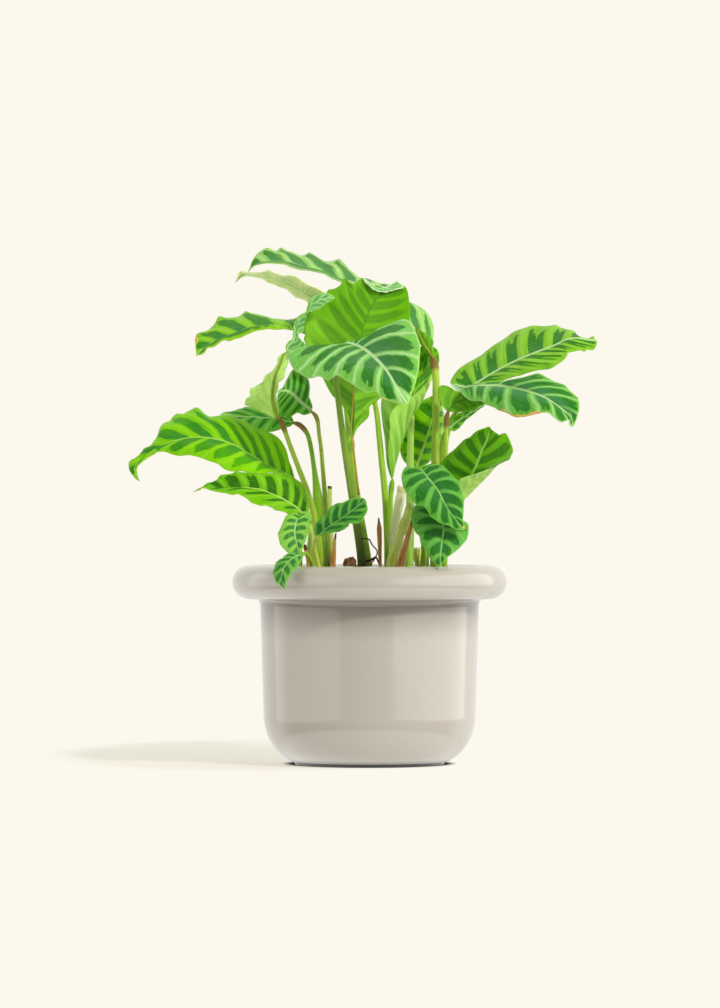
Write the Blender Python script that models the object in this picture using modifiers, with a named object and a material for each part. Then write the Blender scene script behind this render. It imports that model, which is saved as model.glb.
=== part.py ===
# Potted zebra calathea: a glazed ceramic pot with a rolled rim, filled with potting soil,
# and a clump of striped leaves on upright leaf stalks. +X is to the right of the front view,
# +Y runs away from the viewer and +Z is up. The origin is the centre of the pot's flat foot.
import math

import bmesh
import bpy
from mathutils import Vector

MM = 0.001

# Driving sizes of the pot, in millimetres.
POT_HEIGHT = 165.0
RIM_OUTER_RADIUS = 114.0
RIM_ROLL_RADIUS = 14.0
BODY_TOP_RADIUS = 90.8
BODY_LOW_RADIUS = 88.1
WALL = 5.6
FLOOR_THICKNESS = 8.0
FOOT_RADIUS = 62.0
FOOT_STEP = 2.2
CORNER_WIDTH = 34.1
CORNER_HEIGHT = 42.0
TURN_STEPS = 36

# Soil: a low mound that fills the pot.
SOIL_EDGE_HEIGHT = 151.0
SOIL_CROWN_HEIGHT = 161.0
FIT_GAP = 0.3

# Plant: what every leaf and stalk shares.
BLADE_THICKNESS = 0.7
STALK_SINK = 14.0
JOINT_GAP = 0.8
JOINT_RADIUS = 1.3
# The points of leaves and stalks are drawn from a line this far below the foot.
DRAWN_FROM = -2.5

GREEN_TOP = (0.13, 0.45, 0.04)
GREEN_FRONT = (0.05, 0.26, 0.06)
GREEN_UNDER = (0.28, 0.56, 0.09)
STALK_GREEN = (0.22, 0.43, 0.06)
DRY_BROWN = (0.30, 0.13, 0.04)
PALE_SHEATH = (0.55, 0.66, 0.27)

# Each leaf: the midrib from base to tip, then the left and the right margin between those
# two ends, seen from the front along the way the leaf grows. Millimetres.
LEAVES = {
    "leaf_crown_arch": {
        "rib": [(52, 42, 341), (45, 44, 356), (35, 50, 369), (22, 56, 386), (2, 62, 400),
                (-24, 66, 411), (-43, 68, 413), (-66, 70, 419), (-89, 73, 422), (-98, 74, 417),
                (-100, 75, 411)],
        "left": [(44, 34, 350), (36, 31, 364), (22, 36, 378), (0, 42, 392), (-22, 46, 402),
                 (-41, 48, 409), (-66, 54, 416), (-87, 64, 418)],
        "right": [(57, 51, 350), (54, 62, 365), (47, 72, 379), (33, 82, 388), (15, 90, 400),
                  (-12, 94, 409), (-25, 96, 421), (-49, 96, 427), (-73, 92, 430),
                  (-84, 86, 431), (-96, 79, 424)],
        "bulge": (2, 3), "wave": (1.6, 5), "rows": 18, "colour": GREEN_TOP},
    "leaf_back_left": {
        "rib": [(-28, 34, 378), (-39, 36, 388), (-49, 38, 393), (-63, 40, 403), (-84, 42, 410),
                (-101, 43, 411), (-107, 43, 410), (-111, 43, 403)],
        "left": [(-38, 48, 380), (-51, 58, 386), (-66, 60, 395), (-86, 56, 403),
                 (-101, 48, 409)],
        "right": [(-30, 22, 388), (-40, 18, 396), (-62, 20, 408), (-84, 24, 412),
                  (-101, 34, 413)],
        "bulge": (2, 2), "wave": (1.2, 5), "rows": 12, "colour": GREEN_UNDER},
    "leaf_centre_back": {
        "rib": [(-14, 2, 271), (-13, 3, 296), (-13, 4, 317), (-7, 8, 359), (2, 13, 383),
                (10, 19, 393), (26, 30, 402)],
        "left": [(-18, 5, 280), (-26, 9, 300), (-39, 11, 323), (-54, 11, 356), (-55, 10, 366),
                 (-49, 15, 378), (-34, 10, 395), (-21, 10, 405), (-6, 12, 404),
                 (9, 18, 399), (19, 25, 401)],
        "right": [(-10, 5, 281), (-1, 9, 291), (1, 10, 300), (10, 12, 308), (24, 12, 335),
                  (33, 12, 371), (33, 18, 388), (31, 26, 398)],
        "bulge": (-4, -4), "wave": (1.6, 6), "rows": 16, "colour": GREEN_UNDER},
    "leaf_centre_front": {
        "rib": [(-20, -24, 352), (-7, -48, 348), (6, -72, 340), (16, -94, 329),
                (24, -112, 315), (29, -122, 305), (31, -126, 300)],
        "left": [(-16, -22, 354), (-7, -22, 358), (5, -24, 362), (15, -30, 370),
                 (23, -38, 372), (32, -50, 371), (37, -60, 364), (42, -76, 351),
                 (41, -88, 342), (39, -102, 327), (34, -116, 310)],
        "right": [(-28, -28, 351), (-49, -34, 347), (-66, -46, 345), (-63, -60, 336),
                  (-58, -70, 327), (-49, -80, 322), (-40, -86, 325), (-33, -92, 321),
                  (-28, -96, 324), (-16, -104, 320), (-2, -112, 311), (12, -118, 307),
                  (24, -124, 302)],
        "bulge": (4, 6), "wave": (1.4, 6), "rows": 16, "colour": GREEN_FRONT},
    "leaf_left_twisted": {
        "rib": [(-75, -8, 290), (-80, -8, 309), (-77, -8, 329), (-71, -8, 341),
                (-66, -8, 351), (-63, -8, 361), (-59, -8, 370), (-51, -8, 379),
                (-41, -8, 386), (-29, -6, 390)],
        "left": [(-81, -2, 291), (-87, 4, 293), (-96, 8, 297), (-106, 8, 300),
                 (-99, 6, 313), (-87, 0, 325), (-77, -3, 339), (-70, -4, 350),
                 (-67, -5, 362), (-62, -8, 374), (-53, -12, 385), (-43, -12, 393),
                 (-36, -9, 394)],
        "right": [(-73, -4, 300), (-76, 2, 317), (-72, 4, 324), (-67, 4, 334),
                  (-62, 0, 343), (-58, -3, 352), (-59, -5, 359), (-55, -6, 366),
                  (-48, -4, 374), (-37, -2, 381)],
        "bulge": (-2, 0), "wave": (1.0, 6), "rows": 18, "colour": GREEN_UNDER},
    "leaf_left_upper": {
        "rib": [(-36, 32, 350), (-49, 31, 361), (-64, 22, 364), (-82, 20, 364),
                (-100, 18, 365), (-117, 16, 359), (-136, 12, 347), (-144, 12, 341)],
        "left": [(-44, 26, 351), (-54, 22, 358), (-70, 11, 360), (-83, 6, 361),
                 (-100, 4, 359), (-117, 4, 353), (-137, 10, 343)],
        "right": [(-37, 38, 359), (-48, 44, 369), (-62, 48, 373), (-82, 50, 371),
                  (-103, 48, 378), (-125, 40, 374), (-141, 24, 361), (-144, 14, 350)],
        "bulge": (3, 3), "wave": (1.2, 4), "rows": 14, "colour": GREEN_TOP},
    "leaf_left_broad": {
        "rib": [(-62, -4, 239), (-88, -8, 253), (-110, -12, 267), (-126, -15, 272),
                (-137, -17, 274), (-151, -19, 272), (-166, -21, 267), (-181, -22, 261),
                (-190, -22, 253), (-195, -21, 246), (-190, -19, 237)],
        "left": [(-66, -10, 240), (-74, -18, 243), (-91, -26, 243), (-111, -32, 245),
                 (-126, -36, 251), (-142, -38, 257), (-157, -36, 259), (-173, -30, 261),
                 (-182, -26, 258), (-189, -23, 249), (-191, -20, 242)],
        "right": [(-65, 0, 250), (-68, 8, 264), (-75, 12, 275), (-85, 13, 279),
                  (-97, 12, 283), (-108, 11, 289), (-123, 10, 291), (-132, 9, 292),
                  (-143, 8, 298), (-161, 4, 293), (-172, -3, 284), (-181, -9, 272),
                  (-193, -15, 259), (-200, -18, 249), (-196, -18, 241)],
        "bulge": (4, 4), "wave": (1.6, 7), "rows": 20, "colour": GREEN_TOP},
    "leaf_left_low": {
        "rib": [(-54, -26, 208), (-68, -38, 218), (-81, -44, 226), (-91, -48, 230),
                (-103, -52, 232), (-118, -56, 232), (-137, -59, 232), (-144, -60, 229)],
        "left": [(-60, -34, 208), (-66, -45, 210), (-77, -57, 212), (-91, -66, 218),
                 (-108, -70, 226), (-123, -68, 228), (-137, -63, 230)],
        "right": [(-52, -22, 214), (-52, -20, 224), (-57, -22, 234), (-65, -27, 240),
                  (-73, -32, 243), (-91, -39, 244), (-112, -46, 244), (-123, -51, 242),
                  (-134, -56, 237)],
        "bulge": (3, 3), "wave": (1.0, 5), "rows": 14, "colour": GREEN_TOP},
    "leaf_left_nodding": {
        "rib": [(-59, -46, 209), (-62, -54, 197), (-59, -62, 183), (-57, -66, 175)],
        "left": [(-54, -46, 212), (-47, -47, 209), (-48, -49, 202), (-50, -55, 196),
                 (-52, -60, 186), (-55, -64, 179)],
        "right": [(-64, -48, 211.5), (-69, -50, 209), (-74, -55, 201), (-77, -60, 192),
                  (-73, -65, 183), (-66, -67, 177)],
        "bulge": (2, 2), "wave": (0.6, 5), "rows": 10, "colour": GREEN_FRONT},
    "leaf_over_rim": {
        "rib": [(-55, -86, 177), (-61, -96, 172), (-67, -103, 166), (-71, -107, 158),
                (-72, -108, 149)],
        "left": [(-55, -91, 173), (-60, -102, 166), (-66, -110, 157), (-69, -110, 152)],
        "right": [(-60, -87, 179), (-68, -92, 177), (-76, -97, 170), (-80, -102, 163),
                  (-78, -106, 154)],
        "bulge": (1.5, 1.5), "wave": (0.5, 4), "rows": 10, "colour": GREEN_FRONT},
    "leaf_small_front": {
        "rib": [(-42, -56, 192), (-34, -60, 200), (-22, -64, 208), (-11, -67, 216),
                (-3, -68, 222)],
        "left": [(-45, -55, 195), (-44, -56, 202), (-37, -59, 209), (-34, -60, 217),
                 (-22, -62, 220), (-14, -64, 222), (-8, -66, 223)],
        "right": [(-38, -60, 194), (-30, -66, 195), (-22, -70, 198), (-18, -72, 202),
                  (-11, -74, 202), (-5, -74, 207), (-2, -72, 215)],
        "bulge": (2, 2), "wave": (0.6, 5), "rows": 10, "colour": GREEN_FRONT},
    "leaf_left_behind": {
        "rib": [(-63, 22, 286), (-80, 25, 288), (-95, 28, 290), (-108, 32, 291),
                (-126, 36, 289)],
        "left": [(-66, 19, 283), (-73, 19, 281), (-84, 20, 278), (-102, 24, 279),
                 (-118, 30, 284)],
        "right": [(-66, 28, 292), (-80, 38, 297), (-95, 43, 299), (-109, 43, 297),
                  (-121, 40, 293)],
        "bulge": (2, 2), "wave": (0.8, 4), "rows": 10, "colour": GREEN_TOP},
    "leaf_left_inner": {
        "rib": [(-48, 18, 295), (-59, 20, 304), (-65, 22, 309), (-71, 24, 311),
                (-80, 27, 308)],
        "left": [(-53, 13, 292), (-59, 11, 293), (-65, 12, 294), (-73, 16, 299)],
        "right": [(-47, 21, 301), (-51, 27, 308), (-49, 33, 316), (-50, 38, 323),
                  (-57, 42, 331), (-66, 42, 330), (-76, 36, 320)],
        "bulge": (2, 3), "wave": (0.6, 4), "rows": 10, "colour": GREEN_TOP},
    "leaf_inner_folded": {
        "rib": [(19, 10, 238), (23, 16, 255), (31, 26, 280), (36, 34, 292), (42, 41, 301),
                (46, 47, 311), (50, 54, 320), (55, 60, 330), (57, 63, 334)],
        "left": [(16, 4, 251), (16, 0, 271), (17, 4, 291), (22, 9, 299), (29, 16, 304),
                 (35, 24, 308), (42, 34, 313), (47, 43, 320), (54, 56, 329)],
        "right": [(15, 16, 250), (13, 28, 271), (11, 38, 288), (10, 46, 305),
                  (15, 54, 325), (25, 62, 341), (35, 68, 347), (43, 72, 349),
                  (52, 75, 349), (57, 74, 343), (59, 69, 338)],
        "bulge": (4, -4), "wave": (0.8, 4), "rows": 14, "colour": GREEN_UNDER},
    "leaf_inner_upright": {
        "rib": [(39, 38, 248), (44, 44, 262), (50, 50, 280), (55, 56, 298), (58, 61, 310)],
        "left": [(33, 40, 250), (27, 44, 258), (25, 50, 272), (28, 58, 288), (35, 64, 298),
                 (43, 67, 304), (52, 66, 309)],
        "right": [(43, 44, 248), (52, 54, 256), (60, 64, 270), (63, 70, 288),
                  (61, 68, 302)],
        "bulge": (2, 2), "wave": (0.6, 4), "rows": 10, "colour": GREEN_TOP},
    "leaf_back_hidden": {
        "rib": [(30, 66, 312), (22, 82, 328), (8, 102, 342), (-8, 120, 348),
                (-24, 136, 344), (-32, 144, 338)],
        "left": [(22, 69, 315), (8, 78, 322), (-8, 92, 329), (-24, 110, 333),
                 (-34, 130, 336)],
        "right": [(34, 76, 320), (32, 94, 336), (22, 116, 352), (6, 134, 360),
                  (-14, 144, 354)],
        "bulge": (3, 3), "wave": (1.4, 5), "rows": 12, "colour": GREEN_TOP},
    "leaf_right_upper": {
        "rib": [(80, 30, 313), (112, 24, 333), (129, 20, 342), (151, 14, 349),
                (167, 10, 355), (176, 8, 355), (189, 4, 354)],
        "left": [(74, 32, 315), (68, 33, 320), (74, 38, 330), (96, 43, 344), (118, 45, 360),
                 (136, 42, 366), (156, 34, 366), (170, 24, 361), (176, 16, 356),
                 (185, 8, 357)],
        "right": [(90, 23, 314), (112, 14, 321), (136, 7, 329), (148, 4, 331),
                  (161, 2, 338), (165, 2, 343), (176, 2, 346), (187, 3, 348)],
        "bulge": (3, 3), "wave": (1.2, 6), "rows": 18, "colour": GREEN_TOP},
    "leaf_right_drooping": {
        "rib": [(80, 16, 314), (90, 8, 317), (106, 1, 317), (124, -9, 316), (138, -18, 311),
                (152, -25, 302), (165, -29, 293), (169, -30, 283)],
        "left": [(74, 21, 317), (84, 18, 317), (103, 9, 318), (122, -1, 322),
                 (138, -7, 326), (152, -12, 322), (165, -17, 315), (173, -22, 307),
                 (174, -28, 297)],
        "right": [(78, 10, 313), (77, -1, 311), (84, -9, 306), (94, -15, 304),
                  (106, -20, 299), (118, -26, 293), (131, -30, 290), (143, -34, 294),
                  (157, -35, 287), (164, -33, 284)],
        "bulge": (3, 4), "wave": (1.2, 6), "rows": 18, "colour": GREEN_FRONT},
    "leaf_right_lobe": {
        "rib": [(65, 8, 295), (70, 9, 301), (76, 10, 304.5), (86, 11, 305), (99, 12, 303)],
        "left": [(60, 6, 301), (57, 5, 310), (57.5, 5, 315), (60, 6, 317), (66, 8, 316),
                 (71, 10, 313), (80, 11, 310), (90, 12, 306.5)],
        "right": [(70, 6, 295), (78, 5, 295), (86, 6, 297), (93, 9, 301)],
        "bulge": (-1.5, -1.5), "wave": (0.4, 3), "rows": 10, "colour": GREEN_UNDER},
    "leaf_right_narrow": {
        "rib": [(66, 15, 281), (74, 17, 288), (84, 18, 294), (92, 19, 299), (98, 20, 303)],
        "left": [(66.5, 14, 286), (72, 14, 292), (82, 15, 298), (92, 17, 303)],
        "right": [(70, 18.5, 279), (74, 21, 281), (79, 23, 287), (88, 23, 295),
                  (95, 22, 300)],
        "bulge": (1, 1), "wave": (0.4, 3), "rows": 10, "colour": GREEN_TOP},
    "leaf_right_low": {
        "rib": [(77, -20, 222), (86, -28, 245), (94, -34, 262), (103, -38, 273),
                (109, -40, 276.5), (113, -41, 275)],
        "left": [(71, -16, 230), (62, -12, 244), (59, -12, 252), (66, -17, 260),
                 (78, -25, 271), (90, -32, 279), (100, -37, 283), (109, -40, 280.5)],
        "right": [(83, -18, 226), (94, -16, 239), (106, -20, 250), (117, -28, 255),
                  (119, -34, 262), (118, -38, 268)],
        "bulge": (3, 3), "wave": (1.0, 4), "rows": 14, "colour": GREEN_TOP},
    "leaf_front_right": {
        "rib": [(42, -54, 248), (53, -64, 236), (61, -74, 224), (68, -82, 210),
                (79, -88, 198)],
        "left": [(50, -52, 251), (58, -53, 250), (64, -56, 246), (72, -62, 237),
                 (77, -70, 227), (78, -78, 214)],
        "right": [(36, -55, 250), (31, -58, 248), (27, -63, 241), (29, -69, 233),
                  (34, -76, 226), (40, -81, 218), (48, -86, 213), (56, -90, 205),
                  (64, -91, 202), (74, -91, 198)],
        "bulge": (3, 3), "wave": (0.8, 5), "rows": 14, "colour": GREEN_FRONT},
    "leaf_front_low": {
        "rib": [(54, -60, 212), (61, -70, 200), (62, -82, 187), (60, -91, 176),
                (59, -97, 166)],
        "left": [(62, -62, 212), (74, -62, 208), (82, -65, 202), (83, -71, 194),
                 (76, -80, 184), (66, -91, 175)],
        "right": [(46, -62, 215), (39, -61, 216), (35, -62, 209), (37, -68, 199),
                  (41, -76, 191), (44, -83, 184), (49, -91, 174)],
        "bulge": (3, 3), "wave": (0.8, 5), "rows": 14, "colour": GREEN_FRONT},
}

# Each leaf stalk: where it leaves the soil, the points it passes up to its leaf's base, and
# its radius at the foot and at the top. Millimetres.
STALKS = {
    "leaf_crown_arch": {
        "foot": (55, 24), "path": [(55, 25, 190), (55, 27, 251), (55.5, 30, 305),
                                   (55.5, 34, 325), (54, 39, 336)], "radius": (4.2, 3.0)},
    "leaf_back_left": {
        "foot": (15.5, -1), "path": [(15, 0, 190), (13, 2, 226), (10, 6, 255), (8, 10, 275),
                                     (5, 17, 300), (-3, 27, 325), (-14, 33, 350),
                                     (-24, 35, 371)], "radius": (3.0, 1.9)},
    "leaf_centre_back": {
        "foot": (-1, -2), "path": [(-3, -2, 180), (-10, -2, 224), (-15, 0, 260)],
        "radius": (3.6, 2.4)},
    "leaf_centre_front": {
        "foot": (-6, -11), "path": [(-7, -11, 180), (-14, -12, 224), (-21.5, -12, 271),
                                    (-26, -11, 305), (-28, -10, 322), (-27, -12, 335),
                                    (-23, -18, 346)], "radius": (3.8, 2.3)},
    "leaf_left_twisted": {
        "foot": (-40, -4), "path": [(-42, -5, 184), (-46, -7, 208), (-52, -8, 230),
                                    (-58, -9, 246), (-66, -9, 267), (-71, -9, 281)],
        "radius": (3.2, 1.9)},
    "leaf_left_upper": {
        "foot": (-2, 14), "path": [(-4, 14, 180), (-10, 15, 224), (-17, 18, 271),
                                   (-20, 22, 300), (-26, 27, 330), (-33, 31, 343)],
        "radius": (2.8, 1.8)},
    "leaf_left_broad": {
        "foot": (-46, -18), "path": [(-47, -18, 180), (-50, -16, 203), (-56, -13, 225),
                                     (-60, -8, 234)], "radius": (2.8, 2.0)},
    "leaf_left_low": {
        "foot": (-50, -34), "path": [(-50, -34, 180), (-49, -30, 194), (-50.5, -26, 203)],
        "radius": (2.2, 1.7)},
    "leaf_left_nodding": {
        "foot": (-57, -44), "path": [(-57, -43, 180), (-56, -38, 198), (-57.5, -39.5, 208)],
        "radius": (1.9, 1.5)},
    "leaf_over_rim": {
        "foot": (-47, -60), "path": [(-48, -66, 171), (-51, -76, 177), (-53, -82, 178)],
        "radius": (1.8, 1.4)},
    "leaf_small_front": {
        "foot": (-41, -46), "path": [(-43, -47, 172), (-45, -50, 182), (-44.5, -53, 188)],
        "radius": (1.8, 1.5)},
    "leaf_left_behind": {
        "foot": (-37, 5), "path": [(-40, 5, 184), (-43, 8, 222), (-46, 10, 247),
                                   (-49, 14, 266), (-52, 17, 277), (-58, 20, 284)],
        "radius": (2.8, 1.8)},
    "leaf_left_inner": {
        "foot": (-32, 13), "path": [(-34, 13, 184), (-37, 14, 224), (-40, 15, 261),
                                    (-42, 16, 276), (-43, 17, 286), (-45, 17.5, 292)],
        "radius": (2.8, 1.6)},
    "leaf_inner_folded": {
        "foot": (18, 9), "path": [(18, 9, 190), (17.5, 9, 215), (18, 9, 230)],
        "radius": (3.0, 2.0)},
    "leaf_inner_upright": {
        "foot": (47, 35), "path": [(47, 35, 180), (45, 36, 210), (41, 37, 236)],
        "radius": (2.8, 1.9)},
    "leaf_back_hidden": {
        "foot": (33, 22), "path": [(33.5, 22, 190), (34, 24, 215), (34, 30, 250),
                                   (34.5, 37, 274), (35, 43, 289), (34, 54, 300),
                                   (31.5, 63, 307)], "radius": (3.9, 2.6)},
    "leaf_right_upper": {
        "foot": (58, 42), "path": [(59, 42, 190), (60, 44, 251), (62, 46, 273),
                                   (69, 43, 290), (78, 35, 302)], "radius": (2.8, 2.0)},
    "leaf_right_drooping": {
        "foot": (62, 33), "path": [(63, 33, 190), (63.5, 33, 250), (65, 33, 275),
                                   (72, 29, 294), (79, 25, 300),
                                       (82, 19, 306)], "radius": (2.4, 1.8)},
    "leaf_right_lobe": {
        "foot": (62, 10), "path": [(63, 10, 190), (63.5, 10, 251), (63.5, 10, 275),
                                   (64, 9, 289)], "radius": (2.4, 1.9)},
    "leaf_right_narrow": {
        "foot": (61, 22), "path": [(62, 22, 190), (62.5, 21, 250), (64, 17.5, 271)],
        "radius": (2.0, 1.4)},
    "leaf_right_low": {
        "foot": (62, -8), "path": [(63, -8, 178), (68, -12, 197), (74, -17, 213)],
        "radius": (2.4, 1.8)},
    "leaf_front_right": {
        "foot": (44, -24), "path": [(45, -25, 180), (44, -31, 205), (42, -40, 232),
                                    (41, -47, 244)], "radius": (2.6, 1.8)},
    "leaf_front_low": {
        "foot": (53, -34), "path": [(54, -36, 176), (54, -42, 196), (54, -51, 209)],
        "radius": (2.2, 1.7)},
}

# Old stalk stubs and dry sheaths left among the stalks, standing in the soil.
STUBS = {
    "sheath_stub_tall": {"foot": (19, -16), "path": [(20, -16, 190), (23, -16, 212),
                         (27, -17, 232)], "radius": (3.8, 4.0), "colour": PALE_SHEATH},
    "sheath_stub_leaning": {"foot": (17, -27), "path": [(19, -27, 172), (26, -28, 195),
                            (35, -29, 217)], "radius": (4.0, 4.0), "colour": PALE_SHEATH},
    "dry_stalk_leaning": {"foot": (24, -38), "path": [(26, -38, 172), (31, -39, 190),
                          (36, -40, 206)], "radius": (2.4, 1.0), "colour": DRY_BROWN},
    "dry_stub_pointed": {"foot": (9, -22), "path": [(8.5, -22, 180), (8, -22, 195),
                         (7.5, -22, 206)], "radius": (1.8, 1.1), "colour": DRY_BROWN},
    "cut_stub_left": {"foot": (-30, -1), "path": [(-31, -1, 180), (-33, -1, 210),
                      (-33, -1, 233)], "radius": (2.2, 2.0), "colour": STALK_GREEN},
    "dry_sheath_left": {"foot": (-30, -14), "path": [(-30, -14, 172), (-29, -14, 183),
                        (-28, -14, 194)], "radius": (3.4, 1.2), "colour": DRY_BROWN},
    "dry_scrap_left": {"foot": (-50, -50), "path": [(-50.5, -50, 168), (-51, -50, 176),
                       (-52, -50, 184)], "radius": (2.0, 1.0), "colour": DRY_BROWN},
    "sheath_scrap_right": {"foot": (40, -12), "path": [(40.5, -12, 168), (40, -12, 175),
                           (39, -12, 182)], "radius": (2.8, 2.4), "colour": PALE_SHEATH},
}
BARK_CHIP = {"at": (-16, -30, 167.3), "size": (13, 9, 13), "turn": 24}


# Curves through the drawn points

def drawn(point):
    return Vector((point[0], point[1], point[2] + DRAWN_FROM)) * MM


def smooth_line(points, pieces=8):
    # A smooth curve through all the points, as a fine polyline.
    line = []
    last = len(points) - 1
    for index in range(last):
        before = points[max(index - 1, 0)]
        start = points[index]
        end = points[index + 1]
        after = points[min(index + 2, last)]
        for piece in range(pieces):
            t = piece / pieces
            line.append(0.5 * (2 * start + (end - before) * t
                               + (2 * before - 5 * start + 4 * end - after) * t ** 2
                               + (3 * start - before - 3 * end + after) * t ** 3))
    line.append(points[last].copy())
    return line


def spaced(line, fractions):
    # Points of a polyline at the given fractions of its length.
    lengths = [0.0]
    for start, end in zip(line, line[1:]):
        lengths.append(lengths[-1] + (end - start).length)
    found = []
    index = 0
    for fraction in fractions:
        target = fraction * lengths[-1]
        while index < len(line) - 2 and lengths[index + 1] < target:
            index += 1
        span = lengths[index + 1] - lengths[index]
        found.append(line[index].lerp(line[index + 1], (target - lengths[index]) / span))
    return found


# Making objects

def add_material(obj, name, colour, roughness):
    material = bpy.data.materials.get(name)
    if material is None:
        material = bpy.data.materials.new(name)
        material.use_nodes = True
        shader = material.node_tree.nodes["Principled BSDF"]
        shader.inputs["Base Color"].default_value = (*colour, 1)
        shader.inputs["Roughness"].default_value = roughness
        shader.inputs["Metallic"].default_value = 0.0
        material.diffuse_color = (*colour, 1)
    obj.data.materials.append(material)


def add_object(name, data, collection):
    obj = bpy.data.objects.new(name, data)
    collection.objects.link(obj)
    return obj


def turned(name, profile, collection):
    # A closed profile in the XZ plane, outer side top to bottom, turned round +Z.
    mesh = bpy.data.meshes.new(name)
    shape = bmesh.new()
    corners = [shape.verts.new((radius * MM, 0, height * MM)) for radius, height in profile]
    for start, end in zip(corners, corners[1:]):
        shape.edges.new((start, end))
    shape.to_mesh(mesh)
    shape.free()
    obj = add_object(name, mesh, collection)
    screw = obj.modifiers.new("turn", "SCREW")
    screw.axis = "Z"
    screw.steps = TURN_STEPS
    screw.render_steps = TURN_STEPS
    screw.use_merge_vertices = True
    screw.merge_threshold = 0.0001
    return obj


def arc(centre, radii, start, end, steps):
    # Points of an elliptical arc, angles in degrees from +X.
    points = []
    for step in range(steps + 1):
        angle = math.radians(start + (end - start) * step / steps)
        points.append((centre[0] + radii[0] * math.cos(angle),
                       centre[1] + radii[1] * math.sin(angle)))
    return points


def make_pot(collection):
    roll = (RIM_OUTER_RADIUS - RIM_ROLL_RADIUS, POT_HEIGHT - RIM_ROLL_RADIUS)
    roll_radii = (RIM_ROLL_RADIUS, RIM_ROLL_RADIUS)
    corner = (BODY_LOW_RADIUS - CORNER_WIDTH, CORNER_HEIGHT)
    inner_top = BODY_TOP_RADIUS - WALL
    inner_low = BODY_LOW_RADIUS - WALL
    inner_corner = (corner[0], CORNER_HEIGHT)
    profile = [(0, FLOOR_THICKNESS)]
    profile += arc(inner_corner, (inner_low - corner[0], CORNER_HEIGHT - FLOOR_THICKNESS),
                   -90, 0, 4)
    profile += [(inner_top, roll[1] - 4)]
    profile += arc(roll, roll_radii, 165, -90, 12)
    profile += [(BODY_TOP_RADIUS + 2.4, roll[1] - RIM_ROLL_RADIUS - 0.6),
                (BODY_TOP_RADIUS + 0.4, roll[1] - RIM_ROLL_RADIUS - 3),
                (BODY_TOP_RADIUS, roll[1] - RIM_ROLL_RADIUS - 6)]
    profile += arc(corner, (CORNER_WIDTH, CORNER_HEIGHT), 0, -70, 6)
    profile += [(FOOT_RADIUS + 1, FOOT_STEP), (FOOT_RADIUS, 0), (0, 0)]
    pot = turned("pot", profile, collection)
    add_material(pot, "glazed_ceramic", (0.60, 0.56, 0.48), 0.18)
    pot.data.shade_smooth()
    return pot


def make_soil(collection, stalks):
    inner_top = BODY_TOP_RADIUS - WALL - FIT_GAP
    inner_low = BODY_LOW_RADIUS - WALL - FIT_GAP
    corner = BODY_LOW_RADIUS - CORNER_WIDTH
    floor = FLOOR_THICKNESS + FIT_GAP
    mound = SOIL_CROWN_HEIGHT - SOIL_EDGE_HEIGHT
    soil_radius = inner_low + (inner_top - inner_low) * 0.98
    profile = []
    for step in range(5):
        share = step / 4
        height = SOIL_EDGE_HEIGHT + mound * 0.5 * (1 + math.cos(math.pi * share))
        profile.append((soil_radius * share, height))
    profile += arc((corner, CORNER_HEIGHT), (inner_low - corner, CORNER_HEIGHT - floor),
                   0, -90, 4)
    profile += [(0, floor)]
    soil = turned("soil", profile, collection)
    add_material(soil, "potting_soil", (0.030, 0.021, 0.014), 0.95)
    cutters = bpy.data.collections.new("cutters")
    bpy.context.scene.collection.children.link(cutters)
    for name, stalk in stalks.items():
        radius = (stalk["radius"][0] + FIT_GAP) * MM
        bottom = (SOIL_EDGE_HEIGHT - STALK_SINK - FIT_GAP) * MM
        top = (SOIL_CROWN_HEIGHT + 10) * MM
        bpy.ops.mesh.primitive_cylinder_add(
            vertices=10, radius=radius, depth=top - bottom,
            location=(stalk["foot"][0] * MM, stalk["foot"][1] * MM, (top + bottom) / 2))
        cutter = bpy.context.object
        cutter.name = "hole_" + name
        for owner in list(cutter.users_collection):
            owner.objects.unlink(cutter)
        cutters.objects.link(cutter)
        cutter.hide_render = True
        cutter.display_type = "WIRE"
    holes = soil.modifiers.new("stalk_holes", "BOOLEAN")
    holes.operation = "DIFFERENCE"
    holes.operand_type = "COLLECTION"
    holes.collection = cutters
    return soil


def blade_surface(leaf, along, across):
    # Where a point of the blade lies: along runs from 0 at the base to 1 at the tip, and
    # across from -1 at the right margin over 0 at the midrib to 1 at the left margin.
    base = leaf["rib"][0]
    tip = leaf["rib"][-1]
    side = "left" if across >= 0 else "right"
    margin_line = smooth_line([drawn(point) for point in [base] + leaf[side] + [tip]])
    rib_line = smooth_line([drawn(point) for point in leaf["rib"]])
    nudge = 0.01
    ribs = spaced(rib_line, [max(along - nudge, 0), along, min(along + nudge, 1)])
    margin = spaced(margin_line, [along])[0]
    reach = margin - ribs[1]
    facing = (ribs[2] - ribs[0]).cross(reach)
    if facing.length > 0:
        facing.normalize()
    if side == "right":
        facing = -facing
    share = abs(across)
    bulge = leaf["bulge"][0 if side == "left" else 1] * MM
    amount, count = leaf["wave"]
    fade = math.sin(math.pi * along)
    phase = 0 if side == "left" else math.pi * 0.7
    lift = bulge * 4 * share * (1 - share) * fade
    lift += amount * MM * share ** 2 * fade * math.sin(2 * math.pi * count * along + phase)
    return ribs[1] + reach * share + facing * lift


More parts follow.
